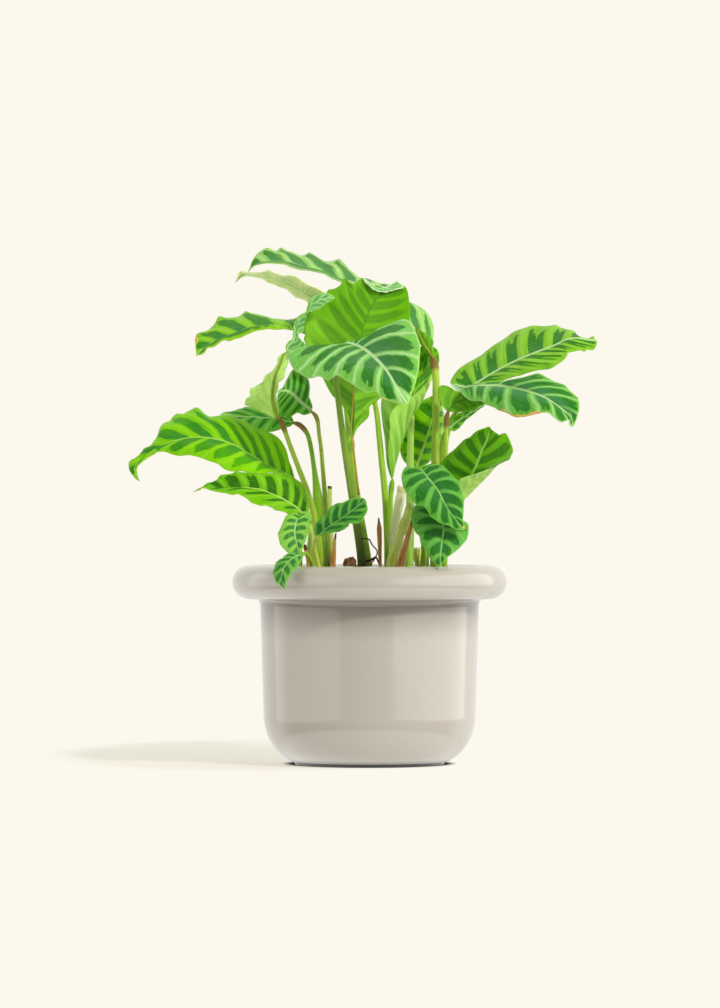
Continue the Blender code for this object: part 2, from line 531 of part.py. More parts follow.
def make_blade(name, leaf, collection):
    # A flat grid is laid on the leaf's surface, its two ends drawn together to points.
    mesh = bpy.data.meshes.new(name)
    shape = bmesh.new()
    halves = 3 if leaf["rows"] > 14 else 2
    bmesh.ops.create_grid(shape, x_segments=leaf["rows"], y_segments=2 * halves, size=1)
    for vertex in shape.verts:
        step = (vertex.co.x + 1) / 2
        along = step - 0.06 * math.sin(2 * math.pi * step)
        vertex.co = blade_surface(leaf, min(max(along, 0), 1), vertex.co.y)
    bmesh.ops.remove_doubles(shape, verts=shape.verts, dist=0.00001)
    bmesh.ops.triangulate(shape, faces=shape.faces, quad_method="ALTERNATE")
    shape.to_mesh(mesh)
    shape.free()
    blade = add_object(name, mesh, collection)
    wall = blade.modifiers.new("thickness", "SOLIDIFY")
    wall.thickness = BLADE_THICKNESS * MM
    wall.offset = 0
    add_material(blade, "blade_" + name, leaf["colour"], 0.4)
    blade.data.shade_smooth()
    return blade


def stalk_points(stalk, top):
    # The stalk stands straight in its hole, then follows its own path.
    x, y = stalk["foot"]
    foot = Vector((x, y, SOIL_EDGE_HEIGHT - STALK_SINK)) * MM
    ground = Vector((x, y, SOIL_CROWN_HEIGHT)) * MM
    path = [ground] + [drawn(point) for point in stalk["path"]]
    if top is not None:
        end = top - (top - path[-1]).normalized() * JOINT_GAP * MM
        path.append(end)
    steps = 2 + len(path)
    line = spaced(smooth_line(path), [step / steps for step in range(steps + 1)])
    return [foot] + line


def make_stalk(name, stalk, top, colour, collection):
    points = stalk_points(stalk, top)
    curve = bpy.data.curves.new(name, "CURVE")
    curve.dimensions = "3D"
    curve.bevel_depth = stalk["radius"][0] * MM
    curve.bevel_resolution = 2
    curve.use_fill_caps = True
    spline = curve.splines.new("POLY")
    spline.points.add(len(points) - 1)
    taper = stalk["radius"][1] / stalk["radius"][0]
    for index, point in enumerate(points):
        spline.points[index].co = (*point, 1)
        share = max(index - 1, 0) / (len(points) - 2)
        spline.points[index].radius = 1 + (taper - 1) * share
    if top is not None:
        spline.points[-1].radius = JOINT_RADIUS / stalk["radius"][0]
    obj = add_object(name, curve, collection)
    add_material(obj, "stalk_" + name, colour, 0.45)
    return obj


def make_bark_chip(collection):
    shape = bmesh.new()
    bmesh.ops.create_cube(shape, size=1)
    mesh = bpy.data.meshes.new("bark_chip")
    shape.to_mesh(mesh)
    shape.free()
    chip = add_object("bark_chip", mesh, collection)
    chip.location = drawn(BARK_CHIP["at"])
    chip.scale = Vector(BARK_CHIP["size"]) * MM
    chip.rotation_euler = (math.radians(8), math.radians(-10), math.radians(BARK_CHIP["turn"]))
    add_material(chip, "bark", DRY_BROWN, 0.9)
    return chip


def main():
    for obj in list(bpy.data.objects):
        bpy.data.objects.remove(obj, do_unlink=True)
    plant = bpy.data.collections.new("potted_zebra_calathea")
    bpy.context.scene.collection.children.link(plant)
    make_pot(plant)
    make_soil(plant, {**STALKS, **STUBS})
    for name, leaf in LEAVES.items():
        make_blade(name, leaf, plant)
        base = drawn(leaf["rib"][0])
        stalk_name = name.replace("leaf_", "stalk_")
        make_stalk(stalk_name, STALKS[name], base, STALK_GREEN, plant)
    for name, stub in STUBS.items():
        make_stalk(name, stub, None, stub["colour"], plant)
    make_bark_chip(plant)


main()
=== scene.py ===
# Potted zebra calathea: fine leaves, stalks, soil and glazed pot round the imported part.
import math
import random

import bpy
from mathutils import Matrix, Vector, noise


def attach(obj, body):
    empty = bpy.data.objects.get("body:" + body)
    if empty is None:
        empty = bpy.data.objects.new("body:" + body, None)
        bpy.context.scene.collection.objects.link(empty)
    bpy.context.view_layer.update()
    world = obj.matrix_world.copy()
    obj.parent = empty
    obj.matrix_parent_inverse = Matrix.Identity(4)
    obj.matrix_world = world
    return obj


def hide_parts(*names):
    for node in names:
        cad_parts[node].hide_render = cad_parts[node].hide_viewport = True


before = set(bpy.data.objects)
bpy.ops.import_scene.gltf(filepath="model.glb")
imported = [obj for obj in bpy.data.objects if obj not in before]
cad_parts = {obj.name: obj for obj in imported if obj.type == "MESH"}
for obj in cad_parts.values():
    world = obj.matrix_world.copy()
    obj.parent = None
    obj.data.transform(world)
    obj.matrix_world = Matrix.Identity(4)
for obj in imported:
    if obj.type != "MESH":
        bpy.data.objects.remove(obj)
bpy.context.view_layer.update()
print("stage: frame loaded,", len(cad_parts), "nodes")

mm = 0.001
drawnFrom = -2.5  # the plant's points were drawn from a line this far below the foot, in mm


# Colours, nodes and small helpers

def linearColour(hexText):
    channels = []
    for start in (1, 3, 5):
        value = int(hexText[start:start + 2], 16) / 255
        channels.append(value / 12.92 if value <= 0.04045 else ((value + 0.055) / 1.055) ** 2.4)
    return (*channels, 1.0)


def fillInputs(tree, node, inputs):
    # Links each input to an output, or sets it; a text is an sRGB hex colour.
    for key, value in inputs.items():
        if isinstance(value, bpy.types.NodeSocket):
            tree.links.new(value, node.inputs[key])
        else:
            node.inputs[key].default_value = (linearColour(value) if isinstance(value, str)
                                              else value)


def addNode(tree, kind, inputs, output=0, **settings):
    # Adds a node with its settings and inputs, and gives back one of its outputs.
    node = tree.nodes.new(kind)
    for key, value in settings.items():
        setattr(node, key, value)
    fillInputs(tree, node, inputs)
    return node.outputs[output]


def layTones(tree, colour, *layers):
    # Lays tones over a colour, each where its mask is and as strongly as it says.
    for mask, strength, tone in layers:
        if strength < 1:
            mask = addNode(tree, "ShaderNodeMath", {0: mask, 1: strength},
                           operation="MULTIPLY")
        colour = addNode(tree, "ShaderNodeMix", {0: mask, 6: colour, 7: tone}, output=2,
                         data_type="RGBA")
    return colour


def newMaterial(name):
    material = bpy.data.materials.new(name)
    material.use_nodes = True
    return material, material.node_tree, material.node_tree.nodes["Principled BSDF"]


def smoothStep(value, low, high):
    share = min(max((value - low) / (high - low), 0.0), 1.0)
    return share * share * (3 - 2 * share)


def drawn(point):
    return Vector((point[0], point[1], point[2] + drawnFrom)) * mm


def smoothLine(points, pieces=8):
    # A smooth curve through all the points, as a fine polyline.
    line = []
    last = len(points) - 1
    for index in range(last):
        before = points[max(index - 1, 0)]
        start = points[index]
        end = points[index + 1]
        after = points[min(index + 2, last)]
        for piece in range(pieces):
            t = piece / pieces
            line.append(0.5 * (2 * start + (end - before) * t
                               + (2 * before - 5 * start + 4 * end - after) * t ** 2
                               + (3 * start - before - 3 * end + after) * t ** 3))
    line.append(points[last].copy())
    return line


def lineLength(line):
    return sum((end - start).length for start, end in zip(line, line[1:]))


def spaced(line, fractions):
    # Points of a polyline at the given fractions of its length.
    lengths = [0.0]
    for start, end in zip(line, line[1:]):
        lengths.append(lengths[-1] + (end - start).length)
    found = []
    index = 0
    for fraction in fractions:
        target = fraction * lengths[-1]
        while index < len(line) - 2 and lengths[index + 1] < target:
            index += 1
        span = lengths[index + 1] - lengths[index]
        found.append(line[index].lerp(line[index + 1], (target - lengths[index]) / span))
    return found


def gridPiece(name, rows, columns, place):
    # A flat grid whose vertices are moved to place(along, across), both from 0 to 1.
    bpy.ops.object.select_all(action="DESELECT")
    bpy.ops.mesh.primitive_grid_add(x_subdivisions=rows, y_subdivisions=columns, size=2)
    piece = bpy.context.object
    piece.name = name
    for vertex in piece.data.vertices:
        vertex.co = place((vertex.co.x + 1) / 2, (vertex.co.y + 1) / 2)
    return piece


def closeSeams(piece, closed=True, gap=0.00001):
    # Merges what lies in one place, and turns the faces of a closed piece outwards.
    bpy.ops.object.select_all(action="DESELECT")
    piece.select_set(True)
    bpy.context.view_layer.objects.active = piece
    bpy.ops.object.mode_set(mode="EDIT")
    bpy.ops.mesh.select_all(action="SELECT")
    bpy.ops.mesh.remove_doubles(threshold=gap)
    if closed:
        bpy.ops.mesh.normals_make_consistent(inside=False)
    bpy.ops.mesh.select_all(action="DESELECT")
    bpy.ops.object.mode_set(mode="OBJECT")


def applyModifier(piece, kind, **settings):
    bpy.ops.object.select_all(action="DESELECT")
    piece.select_set(True)
    bpy.context.view_layer.objects.active = piece
    modifier = piece.modifiers.new(kind.lower(), kind)
    for key, value in settings.items():
        setattr(modifier, key, value)
    bpy.ops.object.modifier_apply(modifier=modifier.name)


def finishPiece(piece, node, slotName, materials):
    for material in materials:
        piece.data.materials.append(material)
    piece.data.shade_smooth()
    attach(piece, "root")
    if node:
        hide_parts(node)


def setAttribute(piece, name, values):
    attribute = piece.data.attributes.new(name, "FLOAT_VECTOR", "POINT")
    attribute.data.foreach_set("vector", [number for value in values for number in value])


# Camera: level, far off with a long lens, as the photo's straight rim shows

cameraView = {"at": (-7.9, -4500, 215.8), "lens": 193.6, "sensor": 36, "farthest": 100}

cameraData = bpy.data.cameras.new("camera")
cameraData.lens = cameraView["lens"]
cameraData.sensor_width = cameraView["sensor"]
cameraData.clip_end = cameraView["farthest"]
camera = bpy.data.objects.new("camera", cameraData)
camera.location = Vector(cameraView["at"]) * mm
camera.rotation_euler = (math.radians(90), 0, 0)
bpy.context.scene.collection.objects.link(camera)
bpy.context.scene.camera = camera


# Leaf finishes. Waxy living leaf: satin, with darker bars between the side veins, a pale rib
# and a thin pale margin. The first colour of a pair is at the base, the second at the tip.
# The attribute veinPhase holds the bar phase on the left and on the right, and the distance
# from the rib in mm, below zero on the right. leafPlace holds the distance from the margin in
# mm, the share of the way from base to tip, and the scorch.

leafFinishes = {
    "vivid": {"light": ("#82CA00", "#6FBE00"), "bar": ("#338A0A", "#2B7E06"),
              "ribBar": "#2F7A3A", "vein": "#A9DC3A", "rib": "#B4DC6A", "edge": "#9CD020",
              "roughness": 0.42, "veinShare": 0.35},
    "fresh": {"light": ("#86C92E", "#74BE1C"), "bar": ("#2F7F22", "#2A7A16"),
              "ribBar": "#3C8450", "vein": "#A6D860", "rib": "#B8E088", "edge": "#94CC40",
              "roughness": 0.40, "veinShare": 0.45},
    # The cool finish's bluish grey-green ribBar near the rib is a painted sheen.
    "cool": {"light": ("#6FB84C", "#55A92E"), "bar": ("#2F7A2E", "#206E18"),
             "ribBar": "#4C8A62", "vein": "#A8DA86", "rib": "#B0DC88", "edge": "#A2D468",
             "roughness": 0.38, "veinShare": 0.7},
    "deep": {"light": ("#62AE44", "#54A436"), "bar": ("#247024", "#1C6416"),
             "ribBar": "#2C6E3C", "vein": "#84C862", "rib": "#92CC66", "edge": "#78BC40",
             "roughness": 0.46, "veinShare": 0.5},
}
undersideFinishes = {
    # The glowing underside's vivid greens are painted light, standing in for light shining through the
    # leaf.
    "glowing": {"light": ("#66B000", "#74BC0C"), "bar": "#529220", "vein": "#7CC024",
                "rib": "#4C8A14", "roughness": 0.55},
    "pale": {"light": ("#A6CC6A", "#94C250"), "bar": "#8ABA48", "vein": "#BCDC8C",
             "rib": "#6C9C28", "roughness": 0.6},
}
scorchFinish = {"colours": ("#E8B45C", "#C08A44", "#8A5026"), "wander": 0.6,
                "yellow": (0.55, 0.85), "brown": (0.85, 1.1)}
# Fine patterns, by how often they change in a bar and in a mm from the rib outwards: fibres
# a thirteenth of a bar wide and 14 mm long, cross veins every 0.9 mm from one side vein to
# the next, and the wandering of the bars over about 8 mm.
leafGrain = {"fibre": {"perBar": 13.0, "perMm": 0.07, "detail": 3.0, "rough": 0.6},
             "cross": {"perBar": 1.6, "perMm": 1.1, "detail": 2.0, "rough": 0.5},
             "wander": {"perBar": 1.7, "perMm": 0.13, "detail": 2.0, "rough": 0.5}}
# Where the marks of a leaf lie and how they end, as shares of a bar, of the half blade, of
# the rib's width or of the margin's. sideShift keeps the two halves from mirroring.
leafMarks = {"sideShift": 7.0, "wedgeFrom": (-0.2, 0.15), "wedgeDepth": 0.45,
             "wedgeOpen": (1.02, 0.5), "wedgeRest": 0.12, "wedgeSoft": 0.6,
             "ribEdge": (0.6, 1.25), "marginStart": 0.3, "cloudScale": 30.0,
             "tint": (0.8, 0.5, 1.2)}
# How strongly each tone shows, some as start, end and strength; the relief is 0.6 mm deep.
leafTones = {"ribTone": (0.05, 0.5, 0.85), "streak": (0.4, 0.8, 0.45),
             "cross": (0.45, 0.7, 0.28), "fibre": 0.18, "margin": 0.8, "relief": 0.35,
             "underSoft": 0.28, "underVein": 0.5, "underBar": 0.75, "underFibre": 0.25,
             "underRib": 0.8, "underRelief": 0.3, "bump": 0.0006, "rough": (-0.06, 0.08),
             "specular": 0.12}


def leafPattern(tree, bars):
    # The masks that both sides of a leaf share, all from 0 to 1.
    flow = addNode(tree, "ShaderNodeAttribute", {}, attribute_name="veinPhase", output=1)
    spot = addNode(tree, "ShaderNodeAttribute", {}, attribute_name="leafPlace", output=1)
    leftPhase, rightPhase, signedReach = addNode(tree, "ShaderNodeSeparateXYZ",
                                                 {0: flow}).node.outputs
    edge, along, scorch = addNode(tree, "ShaderNodeSeparateXYZ", {0: spot}).node.outputs
    side = addNode(tree, "ShaderNodeMath", {0: signedReach, 1: 0.0}, operation="GREATER_THAN")
    phase = addNode(tree, "ShaderNodeMix", {0: side, 2: rightPhase, 3: leftPhase})
    reach = addNode(tree, "ShaderNodeMath", {0: signedReach}, operation="ABSOLUTE")
    wide = addNode(tree, "ShaderNodeMath", {0: reach, 1: edge}, operation="ADD")
    wide = addNode(tree, "ShaderNodeMath", {0: wide, 1: 0.01}, operation="MAXIMUM")
    across = addNode(tree, "ShaderNodeMath", {0: reach, 1: wide}, operation="DIVIDE")
    signed = addNode(tree, "ShaderNodeMath", {0: side, 1: leafMarks["sideShift"], 2: phase},
                     operation="MULTIPLY_ADD")
    grain = {}
    for kind, look in leafGrain.items():
        place = addNode(tree, "ShaderNodeCombineXYZ", {
            0: addNode(tree, "ShaderNodeMath", {0: signed, 1: look["perBar"]},
                       operation="MULTIPLY"),
            1: addNode(tree, "ShaderNodeMath", {0: reach, 1: look["perMm"]},
                       operation="MULTIPLY")})
        grain[kind] = addNode(tree, "ShaderNodeTexNoise", {
            "Vector": place, "Scale": 1.0, "Detail": look["detail"],
            "Roughness": look["rough"]})
    # Bars wander, and their sides are feathered by the fibres.
    bent = [phase]
    for kind, amount in (("wander", bars["wander"]), ("fibre", bars["feather"])):
        centred = addNode(tree, "ShaderNodeMath", {0: grain[kind], 1: 0.5},
                          operation="SUBTRACT")
        bent.append(addNode(tree, "ShaderNodeMath", {0: centred, 1: amount, 2: bent[-1]},
                            operation="MULTIPLY_ADD"))
    ping = addNode(tree, "ShaderNodeMath", {0: bent[2], 1: 0.5}, operation="PINGPONG")
    swing = addNode(tree, "ShaderNodeMath", {0: ping, 1: 2.0}, operation="MULTIPLY")
    # A bar is widest near the rib and closes towards the margin.
    share = addNode(tree, "ShaderNodeMix", {0: side, 2: bars["light"][1],
                                            3: bars["light"][0]})
    limit = addNode(tree, "ShaderNodeMapRange", {
        0: across, 1: bars["narrowFrom"], 2: bars["reach"], 3: share, 4: 1.1},
        interpolation_type="SMOOTHSTEP")
    inBar = addNode(tree, "ShaderNodeMath", {0: swing, 1: limit}, operation="SUBTRACT")
    soft = bars["soft"]
    bar = addNode(tree, "ShaderNodeMapRange", {0: inBar, 1: -soft, 2: soft},
                  interpolation_type="SMOOTHSTEP")
    # A light wedge enters each bar from the margin, deeper in some bars than in others.
    low, high = leafMarks["wedgeFrom"]
    wedgeTop = addNode(tree, "ShaderNodeMapRange", {
        0: grain["wander"], 1: 0.3, 2: 0.7, 3: bars["wedge"] + low, 4: bars["wedge"] + high})
    wedgeIn = addNode(tree, "ShaderNodeMath", {0: across, 1: wedgeTop}, operation="SUBTRACT")
    closed, opened = leafMarks["wedgeOpen"]
    wedgeLimit = addNode(tree, "ShaderNodeMapRange", {
        0: wedgeIn, 1: 0.0, 2: leafMarks["wedgeDepth"], 3: closed, 4: opened})
    inWedge = addNode(tree, "ShaderNodeMath", {0: swing, 1: wedgeLimit}, operation="SUBTRACT")
    soft *= leafMarks["wedgeSoft"]
    wedge = addNode(tree, "ShaderNodeMapRange", {
        0: inWedge, 1: -soft, 2: soft, 3: 1.0, 4: leafMarks["wedgeRest"]},
        interpolation_type="SMOOTHSTEP")
    bar = addNode(tree, "ShaderNodeMath", {0: bar, 1: wedge}, operation="MULTIPLY")
    veinPing = addNode(tree, "ShaderNodeMath", {0: bent[1], 1: 0.5}, operation="PINGPONG")
    ribWidth = addNode(tree, "ShaderNodeMapRange", {0: along, 3: bars["rib"][0],
                                                    4: bars["rib"][1]})
    ribShare = addNode(tree, "ShaderNodeMath", {0: reach, 1: ribWidth}, operation="DIVIDE")
    margin = bars["margin"]
    lines = {kind: addNode(tree, "ShaderNodeMapRange", {
        0: distance, 1: near, 2: far, 3: 1.0, 4: 0.0}, interpolation_type="SMOOTHSTEP")
             for kind, distance, near, far in (
                 ("vein", veinPing, 0.0, bars["veinWidth"]),
                 ("rib", ribShare, *leafMarks["ribEdge"]),
                 ("margin", edge, margin * leafMarks["marginStart"], margin))}
    at = addNode(tree, "ShaderNodeTexCoord", {}, output=3)
    cloud = addNode(tree, "ShaderNodeTexNoise", {
        "Vector": at, "Scale": leafMarks["cloudScale"], "Detail": 2.0})
    byPlace, start, end = leafMarks["tint"]
    tint = addNode(tree, "ShaderNodeMath", {0: along, 1: byPlace, 2: cloud},
                   operation="MULTIPLY_ADD")
    tint = addNode(tree, "ShaderNodeMapRange", {0: tint, 1: start, 2: end})
    return {"bar": bar, "across": across, "tint": tint, "scorch": scorch, "swing": swing,
            **grain, **lines}


def finishLeaf(tree, shader, colour, pattern, roughness, relief):
    yellow, brown, darkBrown = scorchFinish["colours"]
    scorch = addNode(tree, "ShaderNodeMath", {
        0: pattern["wander"], 1: scorchFinish["wander"], 2: pattern["scorch"]},
        operation="MULTIPLY_ADD")
    yellowed, browned = [addNode(tree, "ShaderNodeMapRange", {0: scorch, 1: low, 2: high},
                                 interpolation_type="SMOOTHSTEP")
                         for low, high in (scorchFinish["yellow"], scorchFinish["brown"])]
    burnt = layTones(tree, brown, (pattern["fibre"], 1.0, darkBrown))
    colour = layTones(tree, colour, (yellowed, 1.0, yellow), (browned, 1.0, burnt))
    height = addNode(tree, "ShaderNodeMath", {0: pattern["swing"], 1: 0.5,
                                              2: pattern["fibre"]}, operation="MULTIPLY_ADD")
    bump = addNode(tree, "ShaderNodeBump", {"Height": height, "Strength": relief,
                                            "Distance": leafTones["bump"]})
    smoother, rougher = leafTones["rough"]
    rough = addNode(tree, "ShaderNodeMapRange", {
        0: pattern["fibre"], 3: roughness + smoother, 4: roughness + rougher})
    fillInputs(tree, shader, {"Base Color": colour, "Normal": bump, "Roughness": rough,
                              "Specular IOR Level": leafTones["specular"]})


def leafTopMaterial(name, look, bars):
    material, tree, shader = newMaterial("leaf_top_" + name)
    pattern = leafPattern(tree, bars)
    start, end, strength = leafTones["ribTone"]
    nearRib = addNode(tree, "ShaderNodeMapRange", {0: pattern["across"], 1: start, 2: end,
                                                   3: 1.0, 4: 0.0})
    streaks, crossShare = [addNode(tree, "ShaderNodeMapRange", {
        0: pattern[kind], 1: leafTones[tone][0], 2: leafTones[tone][1],
        4: leafTones[tone][2]}) for kind, tone in (("fibre", "streak"), ("cross", "cross"))]
    bar = layTones(tree, look["bar"][0], (pattern["tint"], 1.0, look["bar"][1]),
                   (nearRib, strength, look["ribBar"]))
    light = layTones(tree, look["light"][0], (pattern["tint"], 1.0, look["light"][1]),
                     (streaks, 1.0, bar), (pattern["vein"], look["veinShare"], look["vein"]))
    bar = layTones(tree, bar, (crossShare, 1.0, light),
                   (pattern["fibre"], leafTones["fibre"], light))
    colour = layTones(tree, light, (pattern["bar"], 1.0, bar),
                      (pattern["rib"], 1.0, look["rib"]),
                      (pattern["margin"], leafTones["margin"], look["edge"]))
    finishLeaf(tree, shader, colour, pattern, look["roughness"], leafTones["relief"])
    return material


def leafUnderMaterial(name, look, bars):
    material, tree, shader = newMaterial("leaf_underside_" + name)
    pattern = leafPattern(tree, {**bars, "soft": leafTones["underSoft"]})
    colour = layTones(tree, look["light"][0], (pattern["tint"], 1.0, look["light"][1]),
                      (pattern["vein"], leafTones["underVein"], look["vein"]),
                      (pattern["bar"], leafTones["underBar"], look["bar"]),
                      (pattern["fibre"], leafTones["underFibre"], look["vein"]),
                      (pattern["rib"], leafTones["underRib"], look["rib"]))
    finishLeaf(tree, shader, colour, pattern, look["roughness"], leafTones["underRelief"])
    return material


# How the bars of a leaf lie: light is the share of the way from a side vein to the middle of
# a bar that stays light, on the left and on the right; bars narrow from narrowFrom and end at
# reach, and wedge is where a light wedge enters, as shares of the half blade.
plainBars = {"light": (0.40, 0.40), "narrowFrom": 0.55, "reach": 1.02, "soft": 0.07,
             "wedge": 0.7, "wander": 0.2, "feather": 0.16, "veinWidth": 0.16,
             "rib": (1.3, 0.5), "margin": 1.0}


# Leaves. Each has the midrib from base to tip, then the left and the right margin between
# those two ends, seen from the front along the way the leaf grows, in mm. veins says where
# each side vein leaves the rib and where it meets the margin, in hundredths of the way from
# base to tip, and bow how far it curves. Where a side has none, pitch is the space from bar
# to bar, slant how far the side veins lean towards the tip and bend how they curve. bulge
# lifts the left and the right half, wave is the height and the number of the margin's waves,
# scorch gives brown spots (x, z, radius) in mm, and tones, underTones and bars change the
# finish of the one leaf.

leafBuild = {"thickness": 0.6, "rows": 132, "columns": 36, "smallPitch": 10,
             "smallRows": 72, "smallColumns": 24, "pleat": 0.45, "pleatFromRib": (0.5, 6),
             "pleatFromEdge": (0, 5), "groove": 0.5, "grooveWidth": 1.3, "ripple": 0.9,
             "ripplePlaces": (22, 1.5), "rippleFrom": 0.6, "endCrowding": 0.06,
             "otherSideTurn": 0.7, "bow": 0.04, "headingSpan": 0.01, "nearestVeins": 0.2,
             "phaseEnds": (-1.5, 2.5)}
plainLeaf = {"under": "pale", "slant": 1.0, "bend": 0.2}


def leafRowsOf(leaf, rowCount):
    # The rib, both margins and the way to the tip at each row.
    base, tip = leaf["rib"][0], leaf["rib"][-1]
    ribLine = smoothLine([drawn(point) for point in leaf["rib"]])
    margins = {side: smoothLine([drawn(point) for point in [base] + leaf[side] + [tip]])
               for side in ("left", "right")}
    shares = [row / rowCount for row in range(rowCount + 1)]
    alongs = [min(max(share - leafBuild["endCrowding"] * math.sin(2 * math.pi * share), 0), 1)
              for share in shares]
    ribs = spaced(ribLine, alongs)
    span = leafBuild["headingSpan"]
    behind = spaced(ribLine, [max(along - span, 0) for along in alongs])
    ahead = spaced(ribLine, [min(along + span, 1) for along in alongs])
    sides = {side: spaced(line, alongs) for side, line in margins.items()}
    length = lineLength(ribLine)
    rows = []
    for row, along in enumerate(alongs):
        heading = (ahead[row] - behind[row]).normalized()
        rowSides = {}
        for side in ("left", "right"):
            reach = sides[side][row] - ribs[row]
            facing = heading.cross(reach)
            if facing.length > 0:
                facing.normalize()
            if side == "right":
                facing = -facing
            lean = reach.dot(heading)
            rowSides[side] = (reach, facing, lean / mm, (reach - heading * lean).length / mm)
        rows.append((along, ribs[row], length * along / mm, rowSides))
    return rows


def flatPoint(rows, along, side):
    # A place on the rib or on a margin as seen from the front, also a little past both ends.
    last = len(rows) - 1
    index = next((number for number in range(1, last) if rows[number][0] >= along), last)
    before, after = rows[index - 1], rows[index]
    share = (along - before[0]) / (after[0] - before[0])
    spots = [row[1] + row[3][side][0] if side else row[1] for row in (before, after)]
    spot = spots[0].lerp(spots[1], share)
    return spot.x / mm, spot.z / mm


def veinLines(rows, side, veins):
    # Side veins as lines in the front view, each as start, way and sign towards the tip.
    lines = []
    for start, end in veins:
        startX, startZ = flatPoint(rows, start / 100, None)
        endX, endZ = flatPoint(rows, end / 100, side)
        lines.append((startX, startZ, endX - startX, endZ - startZ))
    tipX, tipZ = flatPoint(rows, 1, None)
    startX, startZ, wayX, wayZ = lines[len(lines) // 3]
    turn = 1 if wayX * (tipZ - startZ) - wayZ * (tipX - startX) > 0 else -1
    return lines, turn


def phaseAmong(veins, bow, spot):
    # Whole numbers lie on the side veins, halves in the middle of the bars between them.
    lines, turn = veins
    offs = []
    for startX, startZ, wayX, wayZ in lines:
        length = max(math.hypot(wayX, wayZ), 0.1)
        toX, toZ = spot.x / mm - startX, spot.z / mm - startZ
        share = min(max((toX * wayX + toZ * wayZ) / length ** 2, 0), 1)
        off = turn * (wayX * toZ - wayZ * toX) / length
        offs.append(off + 4 * bow * share * (1 - share) * length)
    index = 0
    while index < len(offs) - 2 and offs[index + 1] > 0:
        index += 1
    gap = offs[index] - offs[index + 1]
    low, high = leafBuild["phaseEnds"]
    return index + min(max(offs[index] / max(gap, leafBuild["nearestVeins"]), low), high)


def makeLeaf(name, shape, node):
    leaf = {**plainLeaf, **shape}
    small = leaf["pitch"] < leafBuild["smallPitch"]
    rowCount = leafBuild["smallRows" if small else "rows"]
    columnCount = leafBuild["smallColumns" if small else "columns"]
    rows = leafRowsOf(leaf, rowCount)
    amount, count = leaf["wave"]
    phases = []
    places = []
    seed = len(name) * 7.3
    veins = {side: veinLines(rows, side, table)
             for side, table in leaf.get("veins", {}).items()}

    def phaseOn(side, distance, sides, out, spot):
        if side in veins:
            return phaseAmong(veins[side], leaf.get("bow", leafBuild["bow"]), spot)
        width, lean = sides[side][3], sides[side][2]
        return (distance + out * lean - leaf["slant"] * out * width
                - leaf["bend"] * (out * width) ** 2 / 50) / leaf["pitch"] + (
                    0.5 if side == "left" else 0)

    def place(share, acrossShare):
        along, ribPoint, distance, sides = rows[round(share * rowCount)]
        across = acrossShare * 2 - 1
        side = "left" if across >= 0 else "right"
        reach, facing, lean, width = sides[side]
        out = abs(across)
        bulge = leaf["bulge"][0 if side == "left" else 1]
        fade = math.sin(math.pi * along)
        turn = 0 if side == "left" else math.pi * leafBuild["otherSideTurn"]
        fromRib = out * width
        fromEdge = (1 - out) * width
        flat = ribPoint + reach * out
        leftPhase = phaseOn("left", distance, sides, out if across > 0 else 0,
                            flat if across > 0 else ribPoint)
        rightPhase = phaseOn("right", distance, sides, out if across < 0 else 0,
                             flat if across < 0 else ribPoint)
        lift = bulge * 4 * out * (1 - out) * fade
        lift += amount * out ** 2 * fade * math.sin(2 * math.pi * count * along + turn)
        ownPhase = leftPhase if across > 0 else rightPhase
        lift += (leafBuild["pleat"] * math.cos(2 * math.pi * ownPhase) * fade
                 * smoothStep(fromRib, *leafBuild["pleatFromRib"])
                 * smoothStep(fromEdge, *leafBuild["pleatFromEdge"]))
        lift -= (leafBuild["groove"] * math.exp(-(fromRib / leafBuild["grooveWidth"]) ** 2)
                 * fade)
        alongPlaces, acrossPlaces = leafBuild["ripplePlaces"]
        ripple = noise.noise(Vector((along * alongPlaces + seed, across * acrossPlaces, seed)))
        lift += (leafBuild["ripple"] * ripple * smoothStep(out, leafBuild["rippleFrom"], 1.0)
                 * fade)
        point = flat + facing * lift * mm
        scorch = 0.0
        for spotX, spotZ, spotRadius in leaf.get("scorch", []):
            off = math.hypot(point.x / mm - spotX, point.z / mm - spotZ)
            scorch = max(scorch, 1 - off / spotRadius)
        phases.append((leftPhase, rightPhase, fromRib if across >= 0 else -fromRib))
        places.append((fromEdge, along, scorch))
        return point

    piece = gridPiece(name, rowCount, columnCount, place)
    setAttribute(piece, "veinPhase", phases)
    setAttribute(piece, "leafPlace", places)
    closeSeams(piece, closed=False)
    bars = {**plainBars, **leaf.get("bars", {})}
    top = leafTopMaterial(name, {**leafFinishes[leaf["top"]], **leaf.get("tones", {})}, bars)
    under = leafUnderMaterial(name, {**undersideFinishes[leaf["under"]],
                                     **leaf.get("underTones", {})}, bars)
    applyModifier(piece, "SOLIDIFY", thickness=leafBuild["thickness"] * mm, offset=0,
                  material_offset=1)
    if leaf.get("seenFromBelow"):
        finishPiece(piece, node, "leaf_underside", [under, top])
    else:
        finishPiece(piece, node, "leaf_deep" if leaf["top"] == "deep" else "leaf_bright",
                    [top, under])


